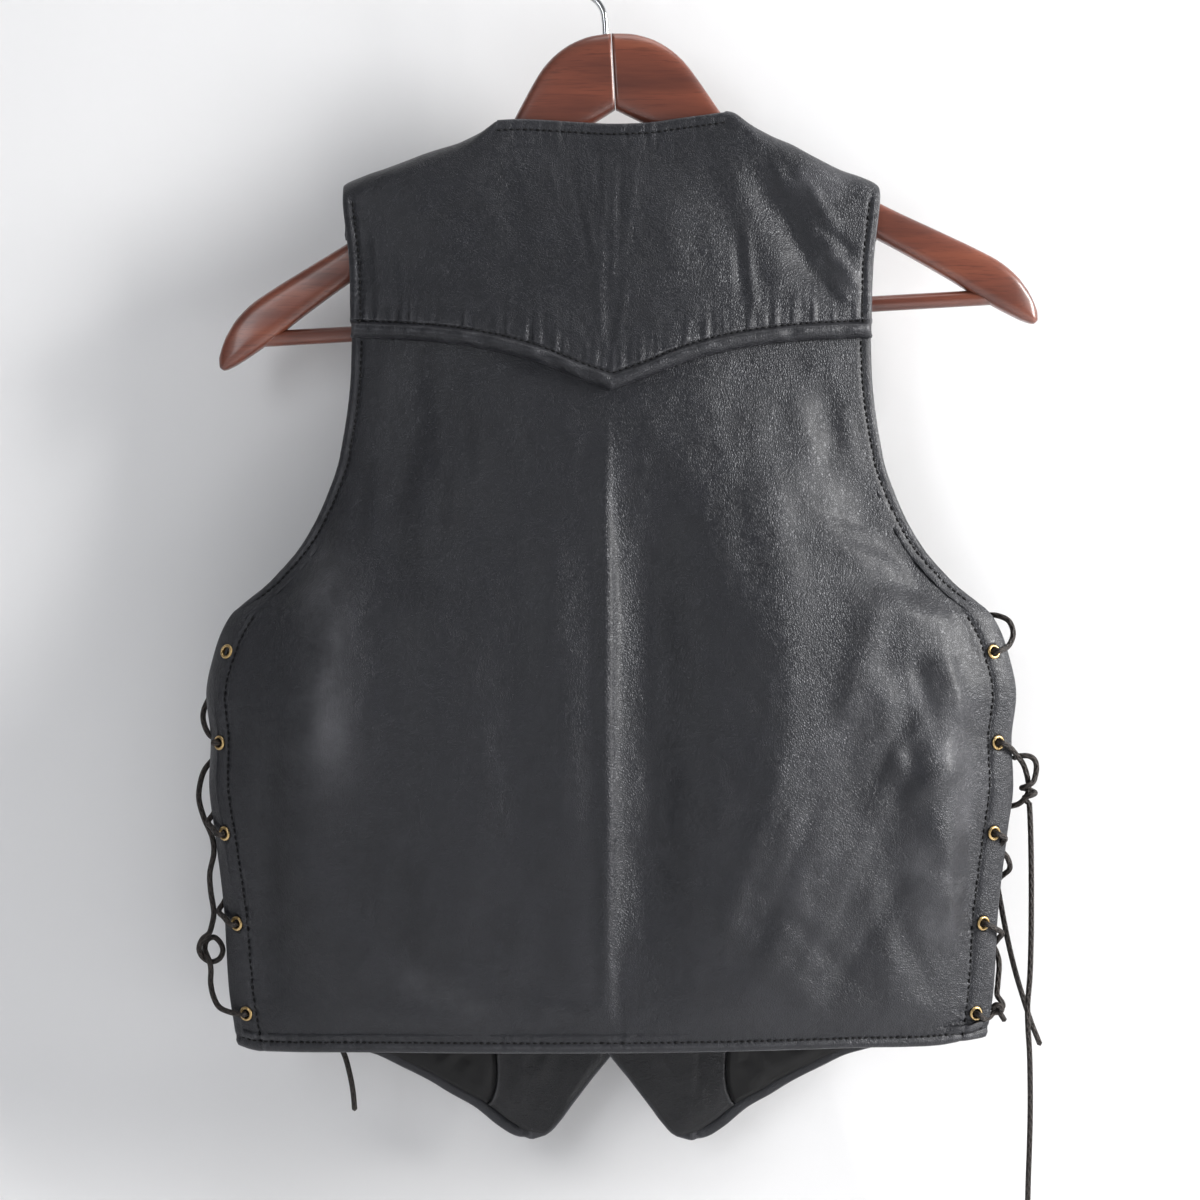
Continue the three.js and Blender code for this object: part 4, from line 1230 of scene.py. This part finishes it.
PANEL_FOLDS = (
    # out, down, to out, to down, width, rise
    (-2, 250, -3, 420, 2.4, 0.35),
    (-4, 340, -1, 540, 2.8, 0.4),
    (-1, 470, -5, 606, 3.0, 0.4),
    (-30, 330, -22, 560, 14, 0.9),
    (-62, 300, -46, 520, 16, -1.2),
    (-96, 350, -84, 560, 15, 1.2),
    (-120, 470, -62, 596, 12, 1.1),
    (-140, 520, -70, 604, 9, -1.1),
    (-168, 470, -120, 600, 11, 1.3),
    (-185, 430, -182, 600, 8, -1.4),
    (-136, 268, -150, 350, 7, 1.4),
    (-150, 320, -186, 384, 8, -1.0),
    (-170, 390, -164, 580, 18, 5.5),
    (-202, 410, -200, 590, 10, -1.8),
    (-48, 578, 2, 586, 6, 1.2),
    (-150, 585, -60, 590, 7, 1.0),
    (52, 560, 96, 430, 6, 1.1),
    (66, 575, 112, 452, 5, -1.0),
    (84, 586, 150, 450, 7, 1.5),
    (104, 590, 160, 500, 6, -1.2),
    (24, 500, 120, 592, 7, 0.9),
    (44, 486, 150, 590, 5, -0.8),
    (118, 440, 142, 360, 9, 2.4),
    (138, 396, 134, 470, 9, 1.6),
    (128, 470, 168, 410, 6, -1.6),
    (140, 400, 152, 470, 8, 2.3),
    (158, 392, 170, 440, 5, -2.0),
    (172, 388, 186, 440, 6, 2.0),
    (150, 476, 184, 450, 6, 2.4),
    (150, 452, 176, 434, 5, -1.9),
    (160, 500, 188, 520, 6, -1.5),
    (172, 470, 180, 560, 7, 2.2),
    (190, 470, 196, 590, 4, -0.9),
    (146, 530, 176, 590, 7, -1.2),
    (130, 500, 150, 580, 8, 1.1),
    (96, 250, 108, 300, 7, 1.3),
    (112, 246, 124, 292, 6, -1.1),
    (122, 262, 138, 310, 6, 1.2),
    (100, 316, 146, 330, 5, -0.8),
    (92, 332, 160, 352, 5, 0.9),
    (110, 352, 176, 366, 5, -0.8),
    (120, 372, 190, 380, 5, 0.9),
    (70, 290, 96, 380, 12, 1.2),
    (-100, 262, -116, 330, 9, -0.9),
    (60, 250, 74, 330, 9, -0.9),
)

# Painted sheen: spots of the back and yoke painted paler where broad highlights fall
BACK_PAINTED_SHEEN = (
    # out, down, to out, to down, width, painted sheen
    (-152, 320, -149, 480, 13, 0.85),
    (-120, 560, -60, 588, 9, 0.35),
    (162, 400, 182, 460, 11, 0.7),
    (186, 440, 188, 500, 8, 0.6),
    (158, 484, 178, 560, 10, 0.6),
    (96, 470, 150, 396, 15, 0.3),
    (84, 540, 124, 470, 12, 0.3),
    (98, 132, 130, 150, 10, 0.8),
    (112, 176, 132, 206, 7, 0.5),
)


def centre_hollow(out, down, inset):
    """The thin ridge down the middle of the back, and the slow rise to its right."""
    out -= 1.4 * wander(down / 70, 31)
    rise = 5.2 * smooth(out, 3, 62) * smooth(inset, 14, 52) - 1.2 * smooth(out, -2.5, 3.5)
    return rise * smooth(down, 254, 330)


def build_back_panel():
    shares = evened([1 - share for share in fine_rows(232, 19, 1.15, 2.35)])
    columns = both_ways(sorted(set(round(share, 5) for share in shares)))
    rows = [1 - share for share in fine_rows(385, 15, 1.2, 2.35)][::-1]

    def place(across, share):
        return back_point(across, mix(edge_down(across) - LAP, hem(across), share))

    def rise(across, _, point):
        out, down = point.x - CENTRE_X, -point.z
        inset = inset_of(point)
        below = down - edge_down(across)
        above_hem = hem(across) - down
        free = smooth(below, -4, 16) * smooth(inset, 3, 26) * smooth(above_hem, 2, 26)
        folds = crumple(out, down) + fold_rise(out, down, PANEL_FOLDS)
        folds += centre_hollow(out, down, inset)
        value = LEATHER + folds * free
        from_row = above_hem - HEM_STITCH
        value += drawn_in(out, from_row, 1, 0.42, 9 if from_row > 0 else 3)
        value += crest(above_hem - 1.9)
        if down > LACED_FROM:
            value += drawn_in(down, inset - LACED_STITCH, 5, 0.5, 8)
            return value + 0.35 * smooth(inset, LACED_STITCH, 11)
        edge = drawn_in(down, inset - EDGE_STITCH, 7, 0.3, 6) + crest(inset - EDGE_CREST)
        return value + edge * smooth(down, LACED_FROM + 2, LACED_FROM - 6)

    bm, cells = cloth_grid(columns, rows, place, BEHIND)
    lift_off(bm, cells, rise)
    for side in (LEFT, RIGHT):
        punch_eyelets(bm, "back", side)
    surface = BVHTree.FromBMesh(bm)
    turn_edge(bm, rim_edges(bm, cells, (-1, 1), (1,)))
    made = cloth_piece("panel", bm, "leather", leather, ("back_panel",), painted_sheen_spots=BACK_PAINTED_SHEEN)
    return made, surface


panel, panel_surface = build_back_panel()


# Back yoke
def shoulder_at(across):
    side = LEFT if across < 0 else RIGHT
    out = abs(back_point(across, NECK_LEVEL).x - CENTRE_X)
    top = shoulder_top[side](out) + LEATHER
    drop = mix(1, SHOULDER_ROUND, smooth(out, NECK_HALF, NECK_HALF + 22))
    return side, out, top, drop


def shoulder_seam(side, out):
    ends = (NECK_HALF, SHOULDER_HALF)
    levels = [shoulder_top[side](end) + LEATHER + SHOULDER_SEAM for end in ends]
    return mix(*levels, (out - NECK_HALF) / (SHOULDER_HALF - NECK_HALF))


def yoke_top(across):
    if abs(across) < neck_share - 1e-6:
        return neckline(back_point(across, NECK_LEVEL).x - CENTRE_X)
    _, _, top, drop = shoulder_at(across)
    return top + drop


def yoke_place(across, row):
    """Row 0 is the lower edge, 1 the neck or the back of the shoulder, 2 its front, 3 the seam."""
    if row <= 1:
        return back_point(across, mix(edge_down(across), yoke_top(across), row))
    side, out, top, drop = shoulder_at(across)
    if row <= 2:
        angle = math.pi * (1.5 - row)
        turn = math.sin(angle)
        fall = 1 - math.sqrt(max(0, 1 - turn * turn))
        behind = back_point(across, yoke_top(across))
        if turn > 0:
            return Vector((behind.x, behind.y * turn, -(top + drop * fall)))
        before = front_point(side, out, top + SHOULDER_ROUND)
        return Vector((behind.x, before.y * -turn, -(top + SHOULDER_ROUND * fall)))
    start = front_point(side, out, top + SHOULDER_ROUND)
    end = front_point(side, out, shoulder_seam(side, out))
    return start.lerp(end, row - 2)


YOKE_ROLL = table(
    "above height",
    (0, -0.2), (0.9, 1.1), (2.2, 2.4), (4.2, 3.1), (6.2, 2.6), (7.8, 0.9), (8.8, -0.5), (9.8, 0.4),
    (12, 0.5), (20, 0), (400, 0),
)
yoke_roll = course(YOKE_ROLL, "height")

YOKE_FOLDS = (
    # out, down, to out, to down, width, rise
    (-3.5, 118, -6, 238, 2.2, 0.5),
    (-8, 122, -3, 190, 1.5, -0.37),
    (-13, 150, -3, 246, 1.7, 0.4),
    (2, 130, 0, 214, 1.6, 0.37),
    (6, 118, 3, 170, 1.4, -0.31),
    (-24, 124, -10, 196, 1.7, -0.31),
    (-19, 212, -4, 250, 1.6, -0.37),
    (9, 196, 0, 246, 1.6, 0.37),
    (14, 128, 6, 188, 1.8, 0.31),
    (-34, 126, -28, 160, 1.7, 0.28),
    (50, 130, 84, 214, 9, -1.05),
    (60, 126, 98, 200, 7, 0.84),
    (71, 160, 77, 224, 2.6, 1.3),
    (66, 168, 70, 214, 2.2, -0.7),
    (88, 146, 108, 196, 5, -1.1),
    (104, 140, 122, 174, 4, 1.4),
    (108, 160, 134, 186, 3.5, -1.3),
    (112, 172, 136, 204, 4, 1.5),
    (100, 186, 132, 216, 4, -1.1),
    (118, 196, 138, 226, 4, 1.1),
    (92, 204, 128, 226, 4, 0.8),
    (84, 122, 94, 148, 2.4, 0.54),
    (92, 124, 100, 146, 2.2, -0.48),
    (100, 128, 108, 146, 2.2, 0.48),
    (-128, 160, -122, 220, 3, 0.54),
    (-120, 166, -114, 214, 3, -0.42),
    (-108, 150, -84, 176, 7, 0.8),
    (-96, 172, -50, 214, 12, 1.0),
    (-60, 130, -44, 190, 9, -0.8),
    (26, 140, 40, 206, 9, 0.7),
)


def build_yoke():
    shares = evened([1 - share for share in fine_rows(157, 9, 1.0, 1.6)], 200)
    shares = sorted(set(round(share, 5) for share in shares))
    nearest = min(shares, key=lambda share: abs(share - neck_share))
    columns = both_ways([neck_share if share == nearest else share for share in shares])
    over_shoulder = [1 + i / 14 for i in range(1, 15)]
    before_shoulder = [2 + i / 8 for i in range(1, 9)]
    rows = [*fine_rows(135, 20, 0.8, 1.9), *over_shoulder, *before_shoulder]

    def under_neck(across):
        return abs(across) < neck_share - 1e-9

    def place(across, row):
        return yoke_place(across, min(row, 1) if under_neck(across) else row)

    def rise(across, row, point):
        above = edge_down(across) + point.z if row <= 1 else 130
        out, down = point.x - CENTRE_X, -point.z
        inset = inset_of(point) if row <= 1 else 20
        value = LEATHER + (LEATHER + SEAM) * (1 - smooth(above, 16, 44))
        value += yoke_roll(above) * (1 + 0.25 * wander(out / 9, 40)) * smooth(inset, -0.5, 2.5)
        if YOKE_STITCH < above < 60:
            value += pucker(out, above - YOKE_STITCH, 50, 0.75, 16)
        if row > 1:
            return value + 0.25 * wander(out / 12, row * 3, 80)
        below_neck = -neckline(clamp(out, -NECK_HALF, NECK_HALF)) - point.z
        free = smooth(above, 10, 26) * smooth(inset, 2, 12) * smooth(row, 0.99, 0.9)
        value += (0.6 * crumple(out, down) + fold_rise(out, down, YOKE_FOLDS)) * free
        if abs(across) <= neck_share:
            value += drawn_in(out, below_neck - EDGE_STITCH, 60, 0.3, 7) + crest(below_neck - 2.2)
        if above > 8:
            value += drawn_in(down, inset - EDGE_STITCH, 70, 0.3, 6) + crest(inset - EDGE_CREST)
        return value

    bm, cells = cloth_grid(columns, rows, place, BEHIND)
    spare = [
        face
        for face in bm.faces
        if min(cells[vert][1] for vert in face.verts) >= 1
        and under_neck(min(abs(cells[vert][0]) for vert in face.verts))
    ]
    bmesh.ops.delete(bm, geom=spare, context="FACES")
    loose = [vert for vert in bm.verts if not vert.link_faces]
    for vert in loose:
        del cells[vert]
    bmesh.ops.delete(bm, geom=loose, context="VERTS")
    lift_off(bm, cells, rise)
    surface = BVHTree.FromBMesh(bm)
    turn_edge(bm, [edge for edge in bm.edges if edge.is_boundary], tuck=5.0)
    made = cloth_piece("yoke", bm, "leather", leather, ("back_yoke",), painted_sheen_spots=BACK_PAINTED_SHEEN)
    return made, surface


yoke, yoke_surface = build_yoke()


# Fronts
@functools.lru_cache(maxsize=None)
def front_rim(side, edge, share):
    """A place on one of a front's four edges: out and down."""
    if edge == "top":
        out = mix(front_half(FRONT_TOP), NECK_HALF, share)
        return out, shoulder_seam(side, out) + SEAM
    if edge == "hem":
        out = mix(front_half(FRONT_FOOT), FRONT_HEM["out"][0], share)
        return out, front_hem(out)
    end = 0 if edge == "side" else 1
    down = mix(front_rim(side, "top", end)[1], front_rim(side, "hem", end)[1], share)
    if edge == "side":
        return front_half(down), down
    return (NECK_HALF if share == 0 else front_edge(down)), down


def front_place(side, aside, along):
    """A patch between a front's four edges: aside from its side to its front edge, along down."""
    top, bottom = front_rim(side, "top", aside), front_rim(side, "hem", aside)
    outer, inner = front_rim(side, "side", along), front_rim(side, "edge", along)
    corners = [front_rim(side, edge, end) for edge in ("top", "hem") for end in (0, 1)]
    out, down = (
        (1 - along) * top[i]
        + along * bottom[i]
        + (1 - aside) * outer[i]
        + aside * inner[i]
        - (1 - aside) * (1 - along) * corners[0][i]
        - aside * (1 - along) * corners[1][i]
        - (1 - aside) * along * corners[2][i]
        - aside * along * corners[3][i]
        for i in (0, 1)
    )
    return front_point(side, out, down)


def build_front(side_name, side):
    columns = fine_rows(200, 12, 1.6, 3.0, True)
    rows = [1 - share for share in fine_rows(480, 14, 1.8, 3.2)][::-1]

    def rise(aside, along, point):
        from_side, from_front = aside * 200, (1 - aside) * FRONT_WIDE
        from_hem, from_top = (1 - along) * FRONT_LONG, along * FRONT_LONG
        soft = smooth(from_side, 4, 24) * smooth(from_front, 6, 20)
        soft *= smooth(from_hem, 8, 24) * smooth(from_top, 2, 20)
        value = LEATHER + 0.8 * crumple(point.x + 400 * side, -point.z) * soft
        for inset in (from_front, from_hem):
            value += groove(inset - EDGE_STITCH, 0.35, 1.6)
        return value + 0.3 * pucker(point.x, abs(from_hem - EDGE_STITCH), 90, 1, 7)

    bm, cells = cloth_grid(columns, rows, functools.partial(front_place, side), AHEAD)
    lift_off(bm, cells, rise)
    punch_eyelets(bm, "front", side)
    surface = BVHTree.FromBMesh(bm)
    turn_edge(bm, rim_edges(bm, cells, (0, 1), (0, 1)), 0.95, 6.0)
    nodes = (f"front_{side_name}",)
    return cloth_piece(f"front_leather_{side_name}", bm, "leather", leather, nodes), surface


def facing_start(along):
    return 0.6 + 0.2 * smooth(along, 0.86, 1)


INSIDE_FOLDS = (
    # out, down, to out, to down, width, rise
    (38, 590, 52, 652, 5, 1.1),
    (54, 600, 48, 650, 3, -0.8),
    (22, 600, 44, 640, 4, 0.8),
    (60, 585, 64, 650, 4, 0.9),
    (70, 600, 96, 630, 4, 1.3),
    (84, 590, 110, 618, 4, -1.1),
    (100, 595, 128, 612, 4, 1.2),
    (74, 620, 88, 636, 3, 0.9),
    (120, 560, 140, 606, 6, 1.2),
)


def build_inside(side_name, side, kind):
    """A facing or a lining, whose lower end shows under the back's hem."""
    facing = kind == "facing"
    slot, made_of = ("leather", facing_leather_painted_shade) if facing else ("satin", satin)
    wide, slack, bead = (75, 0.7, 1.0) if facing else (90, 1.0, -0.3)
    shares = [1 - share for share in fine_rows(455, 90, 1.5, 4)][::-1]
    rows = [INSIDE_FROM + (INSIDE_TO - INSIDE_FROM) * share for share in shares]

    def place(share, along):
        if facing:
            return front_place(side, mix(facing_start(along), 0.9925, share), along)
        return front_place(side, mix(0.16, facing_start(along) - 0.004, share), along)

    def rise(share, along, point):
        out, down = abs(point.x - CENTRE_X), -point.z
        seam = share * wide if facing else (1 - share) * wide
        rim = min(share, 1 - share) * wide
        soft = smooth(rim, 0, 5) * smooth((INSIDE_TO - along) * 450, 0, 6)
        fold = 0.85 * fold_rise(out + 3 * side, down, INSIDE_FOLDS)
        loose = slack * (0.9 + crumple(out * 1.6 + 90 * side, down))
        value = SEAM + 1.25 + soft * (loose + fold)
        return value + bead * math.exp(-(((seam - 1.6) / 1.5) ** 2))

    bm, cells = cloth_grid([i / 40 for i in range(41)], rows, place, BEHIND)
    lift_off(bm, cells, rise)
    name = f"inside_{kind}_{side_name}"
    return cloth_piece(name, bm, slot, made_of, (f"{kind}_{side_name}",), INSIDE_THICK)


front_surface = {}
for side_name, side in SIDES:
    front, front_surface[side] = build_front(side_name, side)
    for kind in ("facing", "lining"):
        build_inside(side_name, side, kind)


# Eyelets and snaps
def spun(profile, centre, normal, steps):
    """A ring or dome from a profile of (radius, height), on a place in millimetres."""
    bm = bmesh.new()
    line = [bm.verts.new((radius, 0, height)) for radius, height in profile]
    edges = [bm.edges.new(pair) for pair in zip(line, line[1:])]
    bmesh.ops.spin(
        bm,
        geom=[*line, *edges],
        cent=(0, 0, 0),
        axis=(0, 0, 1),
        angle=2 * math.pi,
        steps=steps,
        use_merge=True,
        use_duplicate=False,
    )
    bmesh.ops.remove_doubles(bm, verts=bm.verts, dist=1e-4)
    bmesh.ops.recalc_face_normals(bm, faces=bm.faces)
    turn = Vector((0, 0, 1)).rotation_difference(normal).to_matrix().to_4x4()
    bmesh.ops.transform(bm, matrix=Matrix.Translation(centre) @ turn, verts=bm.verts)
    return bm


def joined(parts):
    """One mesh from several, in metres."""
    whole = bmesh.new()
    for part in parts:
        held = bpy.data.meshes.new("part")
        part.to_mesh(held)
        part.free()
        whole.from_mesh(held)
        bpy.data.meshes.remove(held)
    return to_metres(whole)


EYELET_PROFILE = [
    (2.35, -0.9), (2.35, 1.9), (2.42, 2.6), (2.66, 2.95), (3.0, 3.06), (3.4, 2.98), (3.74, 2.74),
    (3.96, 2.4), (4.0, 2.15), (3.3, 2.0), (2.75, 1.95), (2.75, -0.35), (3.5, -0.5), (3.9, -0.75),
    (3.6, -1.1), (2.9, -1.25), (2.5, -1.15), (2.35, -0.9),
]

for side_name, side in SIDES:
    for which in ("back", "front"):
        rings = []
        for level in range(EYELETS):
            point, normal, _ = flap_frame(which, side, eyelet_down(level), EYELET_INSET)
            rings.append(spun(EYELET_PROFILE, point, normal, 28))
        nodes = [f"eyelet_{which}_{side_name}_{level + 1}" for level in range(EYELETS)]
        piece(f"eyelets_{which}_{side_name}", joined(rings), "brass", brass, nodes)

SNAP_PROFILE = [
    (0, 5.3), (2.4, 5.2), (4.6, 4.8), (6.0, 4.1), (6.9, 3.6), (7.4, 3.0), (7.5, 2.5), (7.2, 2.2),
    (3, 2.1), (0, 2.1),
]
SNAPS, SNAP_TOP, SNAP_PITCH = 4, 392, 62
for level in range(SNAPS):
    dome = spun(SNAP_PROFILE, front_point(LEFT, 0, SNAP_TOP + SNAP_PITCH * level), AHEAD, 32)
    piece(f"snap_cap_{level + 1}", to_metres(dome), "brass", brass, (f"snap_{level + 1}",))


# Hanger
def hang(point):
    """A place of the hanger, swung about the seat."""
    return Matrix.Rotation(-HANGER_ROLL, 3, "Y") @ Vector(point)


def arm_forward(out):
    return ARM_FORWARD * (abs(out) / HANGER_HALF) ** 2.2


def squared(value):
    """Rounds a corner less than a circle does."""
    return math.copysign(abs(value) ** 0.62, value)


def build_arm(side):
    top, bottom, thick = (course(HANGER_SHAPE, name) for name in ("top", "bottom", "thick"))
    outs = [0.25, *[2 + 3 * i for i in range(72)], 219.5, 221, 222.3, 223.3, HANGER_HALF]
    sides, count = 40, len(outs) - 1
    bm = unit_grid("along", sides, count)
    for vert in bm.verts:
        out = outs[round((vert.co.y + 0.5) * count)]
        angle = 2 * math.pi * (vert.co.x + 0.5)
        high, low = top(out), bottom(out)
        y = arm_forward(out) + thick(out) / 2 * squared(math.cos(angle))
        z = -(high + low) / 2 + (low - high) / 2 * squared(math.sin(angle))
        vert.co = hang((side * out, y, z)) * MM
    return close_tube(bm, sides)


WOOD_TONES = ((0.075, 0.018, 0.010), (0.15, 0.040, 0.022), (0.23, 0.068, 0.036))
GRAIN_SLOPE = math.radians(27)
for side_name, side in SIDES:
    wood = wood_finish(f"mahogany {side_name}", side * GRAIN_SLOPE, *WOOD_TONES)
    nodes = ("hanger_body",) if side == RIGHT else ()
    piece(f"hanger_arm_{side_name}", build_arm(side), "wood", wood, nodes)

bar_ends = [hang((side * BAR_HALF, arm_forward(BAR_HALF), -BAR_DOWN)) for side in (LEFT, RIGHT)]
bar_places = [bar_ends[0].lerp(bar_ends[1], i / 40) for i in range(41)]
bar_wood = wood_finish("mahogany bar", 0, *WOOD_TONES)
piece("trouser_bar", tube(bar_places, BAR_RADIUS, 28), "wood", bar_wood, ("hanger_bar",))


def hook_points():
    centre_out = -math.tan(HANGER_ROLL) * HOOK_RADIUS
    centre_down = HOOK_RADIUS - WIRE
    stem = spots(
        (STEM_OUT, 0, -STEM_FOOT),
        (STEM_OUT, 0, -66),
        (STEM_OUT, 0, -52),
        (STEM_OUT - 0.6, 0, -46.5),
        (STEM_OUT - 3.4, 0, -41.2),
        (STEM_OUT - 8, 0, -37.2),
    )
    arc = [
        Vector((
            centre_out + HOOK_RADIUS * math.cos(math.radians(angle)),
            0,
            -centre_down + HOOK_RADIUS * math.sin(math.radians(angle)),
        ))
        for angle in (222, 200, 178, 156, 134, 112, 90, 68, 46, 24, 2, -20, -38)
    ]
    return [hang(point) for point in (*stem, *arc)]


hook = tube(course_through(hook_points(), 1.2), WIRE, 20, 1.4)
piece("hook_wire", hook, "chrome", chrome, ("hanger_hook",))


# Sewing
def stitches(name, lines):
    """Lines of sunk stitches: each line is a list of places and normals, a stitch apart."""
    batches, count = [], 0
    for line in lines:
        for (start, up), (end, _) in zip(line, line[1:]):
            along = end - start
            if not 0.5 <= along.length <= 9:
                continue
            across = up.cross(along).normalized()
            over = along.normalized().cross(across).normalized()
            turn = Matrix((along.normalized(), across, over)).transposed().to_4x4()
            size = (along.length * 0.4, THREAD, THREAD * 0.75, 1)
            place = Matrix.Translation((start + end) / 2 + up * 0.18)
            if count % 24 == 0:
                batches.append(bmesh.new())
            count += 1
            bmesh.ops.create_uvsphere(
                batches[-1],
                u_segments=6,
                v_segments=4,
                radius=1,
                matrix=place @ turn @ Matrix.Diagonal(size),
            )
    piece(name, joined(batches), "satin", thread)


def laid_on(surface, guesses):
    """Where a line of guesses meets a sewn surface, seen from outside it."""
    found = []
    for guess, normal in guesses:
        hit, up, _, _ = surface.ray_cast(guess + normal * 14, -normal, 40)
        if hit is not None:
            found.append((hit, up if up.dot(normal) > 0 else -up))
    return found


def spaced(function, start, end, pitch):
    """Values from start to end whose places lie a pitch apart."""
    samples = [mix(start, end, i / 90) for i in range(91)]
    walked = walked_along([function(value) for value in samples])
    count = max(2, round(walked[-1] / pitch))
    values = []
    for i in range(count + 1):
        target = walked[-1] * i / count
        at = clamp(bisect.bisect_left(walked, target), 1, 90)
        gap = walked[at] - walked[at - 1]
        values.append(mix(samples[at - 1], samples[at], (target - walked[at - 1]) / max(gap, 1e-9)))
    return values


def sewn_line(surface, place, start, end, toward):
    """Stitches on a surface along a line of places, or of places with their normals."""
    values = spaced(lambda value: place(value)[0], start, end, STITCH)
    return laid_on(surface, [(place(value)[0], place(value)[1] or toward) for value in values])


def side_row(which, side, inset):
    return lambda down: flap_frame(which, side, down, inset)[:2]


def front_row(side):
    """Down a front's edge, a little in from it, round its point and up along its hem."""

    def place(value):
        aside, along = 1 - EDGE_STITCH / FRONT_WIDE, value
        if value > 1:
            aside, along = 2 - value - EDGE_STITCH / FRONT_WIDE, 1
        point = front_place(side, max(aside, 0.02), min(along, 1 - EDGE_STITCH / FRONT_LONG))
        return point, None

    return place


def hem_row(across):
    return back_point(across, hem(across) - HEM_STITCH), None


def yoke_row(across):
    return back_point(across, edge_down(across) - YOKE_STITCH), None


def neck_row(across):
    out = back_point(across, NECK_LEVEL).x - CENTRE_X
    return back_point(across, neckline(out) + EDGE_STITCH), None


# The levels between which each side edge is sewn
YOKE_SIDE, PANEL_SIDE, FRONT_SIDE, LACED_SIDE = (152, 219), (227, 368), (178, 368), (376, 600)
panel_lines = [sewn_line(panel_surface, hem_row, -0.985, 0.985, BEHIND)]
yoke_lines = [
    sewn_line(yoke_surface, yoke_row, -0.99, 0.99, BEHIND),
    sewn_line(yoke_surface, neck_row, -neck_share, neck_share, BEHIND),
]
front_lines = {LEFT: [], RIGHT: []}
for side in (LEFT, RIGHT):
    armhole, laced = side_row("back", side, EDGE_STITCH), side_row("back", side, LACED_STITCH)
    yoke_lines.append(sewn_line(yoke_surface, armhole, *YOKE_SIDE, BEHIND))
    panel_lines.append(sewn_line(panel_surface, armhole, *PANEL_SIDE, BEHIND))
    panel_lines.append(sewn_line(panel_surface, laced, *LACED_SIDE, BEHIND))
    front_lines[side] = [
        sewn_line(front_surface[side], row, start, end, AHEAD)
        for row, start, end in (
            (front_row(side), 0.03, 1.0),
            (front_row(side), 1.0, 1.97),
            (side_row("front", side, LACED_STITCH), *LACED_SIDE),
            (side_row("front", side, EDGE_STITCH), *FRONT_SIDE),
        )
    ]

stitches("panel_stitches", panel_lines)
stitches("yoke_stitches", yoke_lines)
for side_name, side in SIDES:
    stitches(f"front_stitches_{side_name}", front_lines[side])


# Light and stage, in metres
WALL_BEHIND, WALL_TOP, WALL_HALF = 0.055, 1.2, 3
BEND_FROM, FLOOR_BEND, FLOOR_TO = -0.62, 0.25, -4


def soft_light(name, place, aim, wide, high, power, colour):
    data = bpy.data.lights.new(name, "AREA")
    data.shape = "RECTANGLE"
    data.size, data.size_y = wide, high
    data.energy = power
    data.color = colour
    made = bpy.data.objects.new(name, data)
    made.location = place
    made.rotation_euler = (Vector(aim) - Vector(place)).to_track_quat("-Z", "Y").to_euler()
    bpy.context.scene.collection.objects.link(made)


def build_stage():
    """A pale wall close behind the vest that runs down into a floor, seen from its front alone."""
    bm = bmesh.new()
    profile = [(WALL_BEHIND, WALL_TOP)]
    for i in range(13):
        angle = math.pi / 2 * i / 12
        y = WALL_BEHIND - FLOOR_BEND * (1 - math.cos(angle))
        profile.append((y, BEND_FROM - FLOOR_BEND * math.sin(angle)))
    profile.append((FLOOR_TO, BEND_FROM - FLOOR_BEND))
    line = [bm.verts.new((-WALL_HALF, y, z)) for y, z in profile]
    edges = [bm.edges.new(pair) for pair in zip(line, line[1:])]
    drawn = bmesh.ops.extrude_edge_only(bm, edges=edges)["geom"]
    moved = [item for item in drawn if isinstance(item, bmesh.types.BMVert)]
    bmesh.ops.translate(bm, vec=(2 * WALL_HALF, 0, 0), verts=moved)
    bm.normal_update()
    wall_face = max(bm.faces, key=lambda face: face.calc_center_median().z)
    if wall_face.normal.y > 0:
        bmesh.ops.reverse_faces(bm, faces=bm.faces)
    mesh = bpy.data.meshes.new("backdrop")
    for face in bm.faces:
        face.smooth = True
    bm.to_mesh(mesh)
    bm.free()
    backdrop = bpy.data.objects.new("backdrop", mesh)
    bpy.context.scene.collection.objects.link(backdrop)
    wall, tree, shader = finish(
        "pale wall", Roughness=0.9, Base_Color=(0.83, 0.83, 0.84), Specular_IOR_Level=0.0
    )
    clear = tree.nodes.new("ShaderNodeBsdfTransparent")
    chosen = tree.nodes.new("ShaderNodeMixShader")
    behind = tree.nodes.new("ShaderNodeNewGeometry").outputs["Backfacing"]
    for socket, value in zip(chosen.inputs, (behind, shader.outputs[0], clear.outputs[0])):
        tree.links.new(value, socket)
    tree.links.new(chosen.outputs[0], tree.nodes["Material Output"].inputs["Surface"])
    mesh.materials.append(wall)


build_stage()
for lamp in (
    # name, place, aimed at, width, height, watts, colour
    ("window_right", (2.1, -0.8, 0.35), (0, 0, -0.35), 0.6, 1.2, 84, (1, 0.99, 0.97)),
    ("window_left", (-1.15, -2.2, 0.1), (0, 0, -0.4), 0.6, 1.3, 11, (0.95, 0.97, 1)),
    ("ceiling", (0.4, -0.6, 2.0), (0, 0, -0.3), 1.8, 1.0, 17, (1, 1, 1)),
    ("front_fill", (0.9, 1.8, 0.4), (0, 0, -0.35), 1.4, 1.4, 24, (1, 1, 1)),
):
    soft_light(*lamp)
world = bpy.data.worlds.new("world")
world.use_nodes = True
sky = world.node_tree.nodes["Background"]
feed(world.node_tree, sky, Color=(0.9, 0.92, 0.95), Strength=0.18)
bpy.context.scene.world = world
bpy.context.scene.view_settings.view_transform = "Standard"
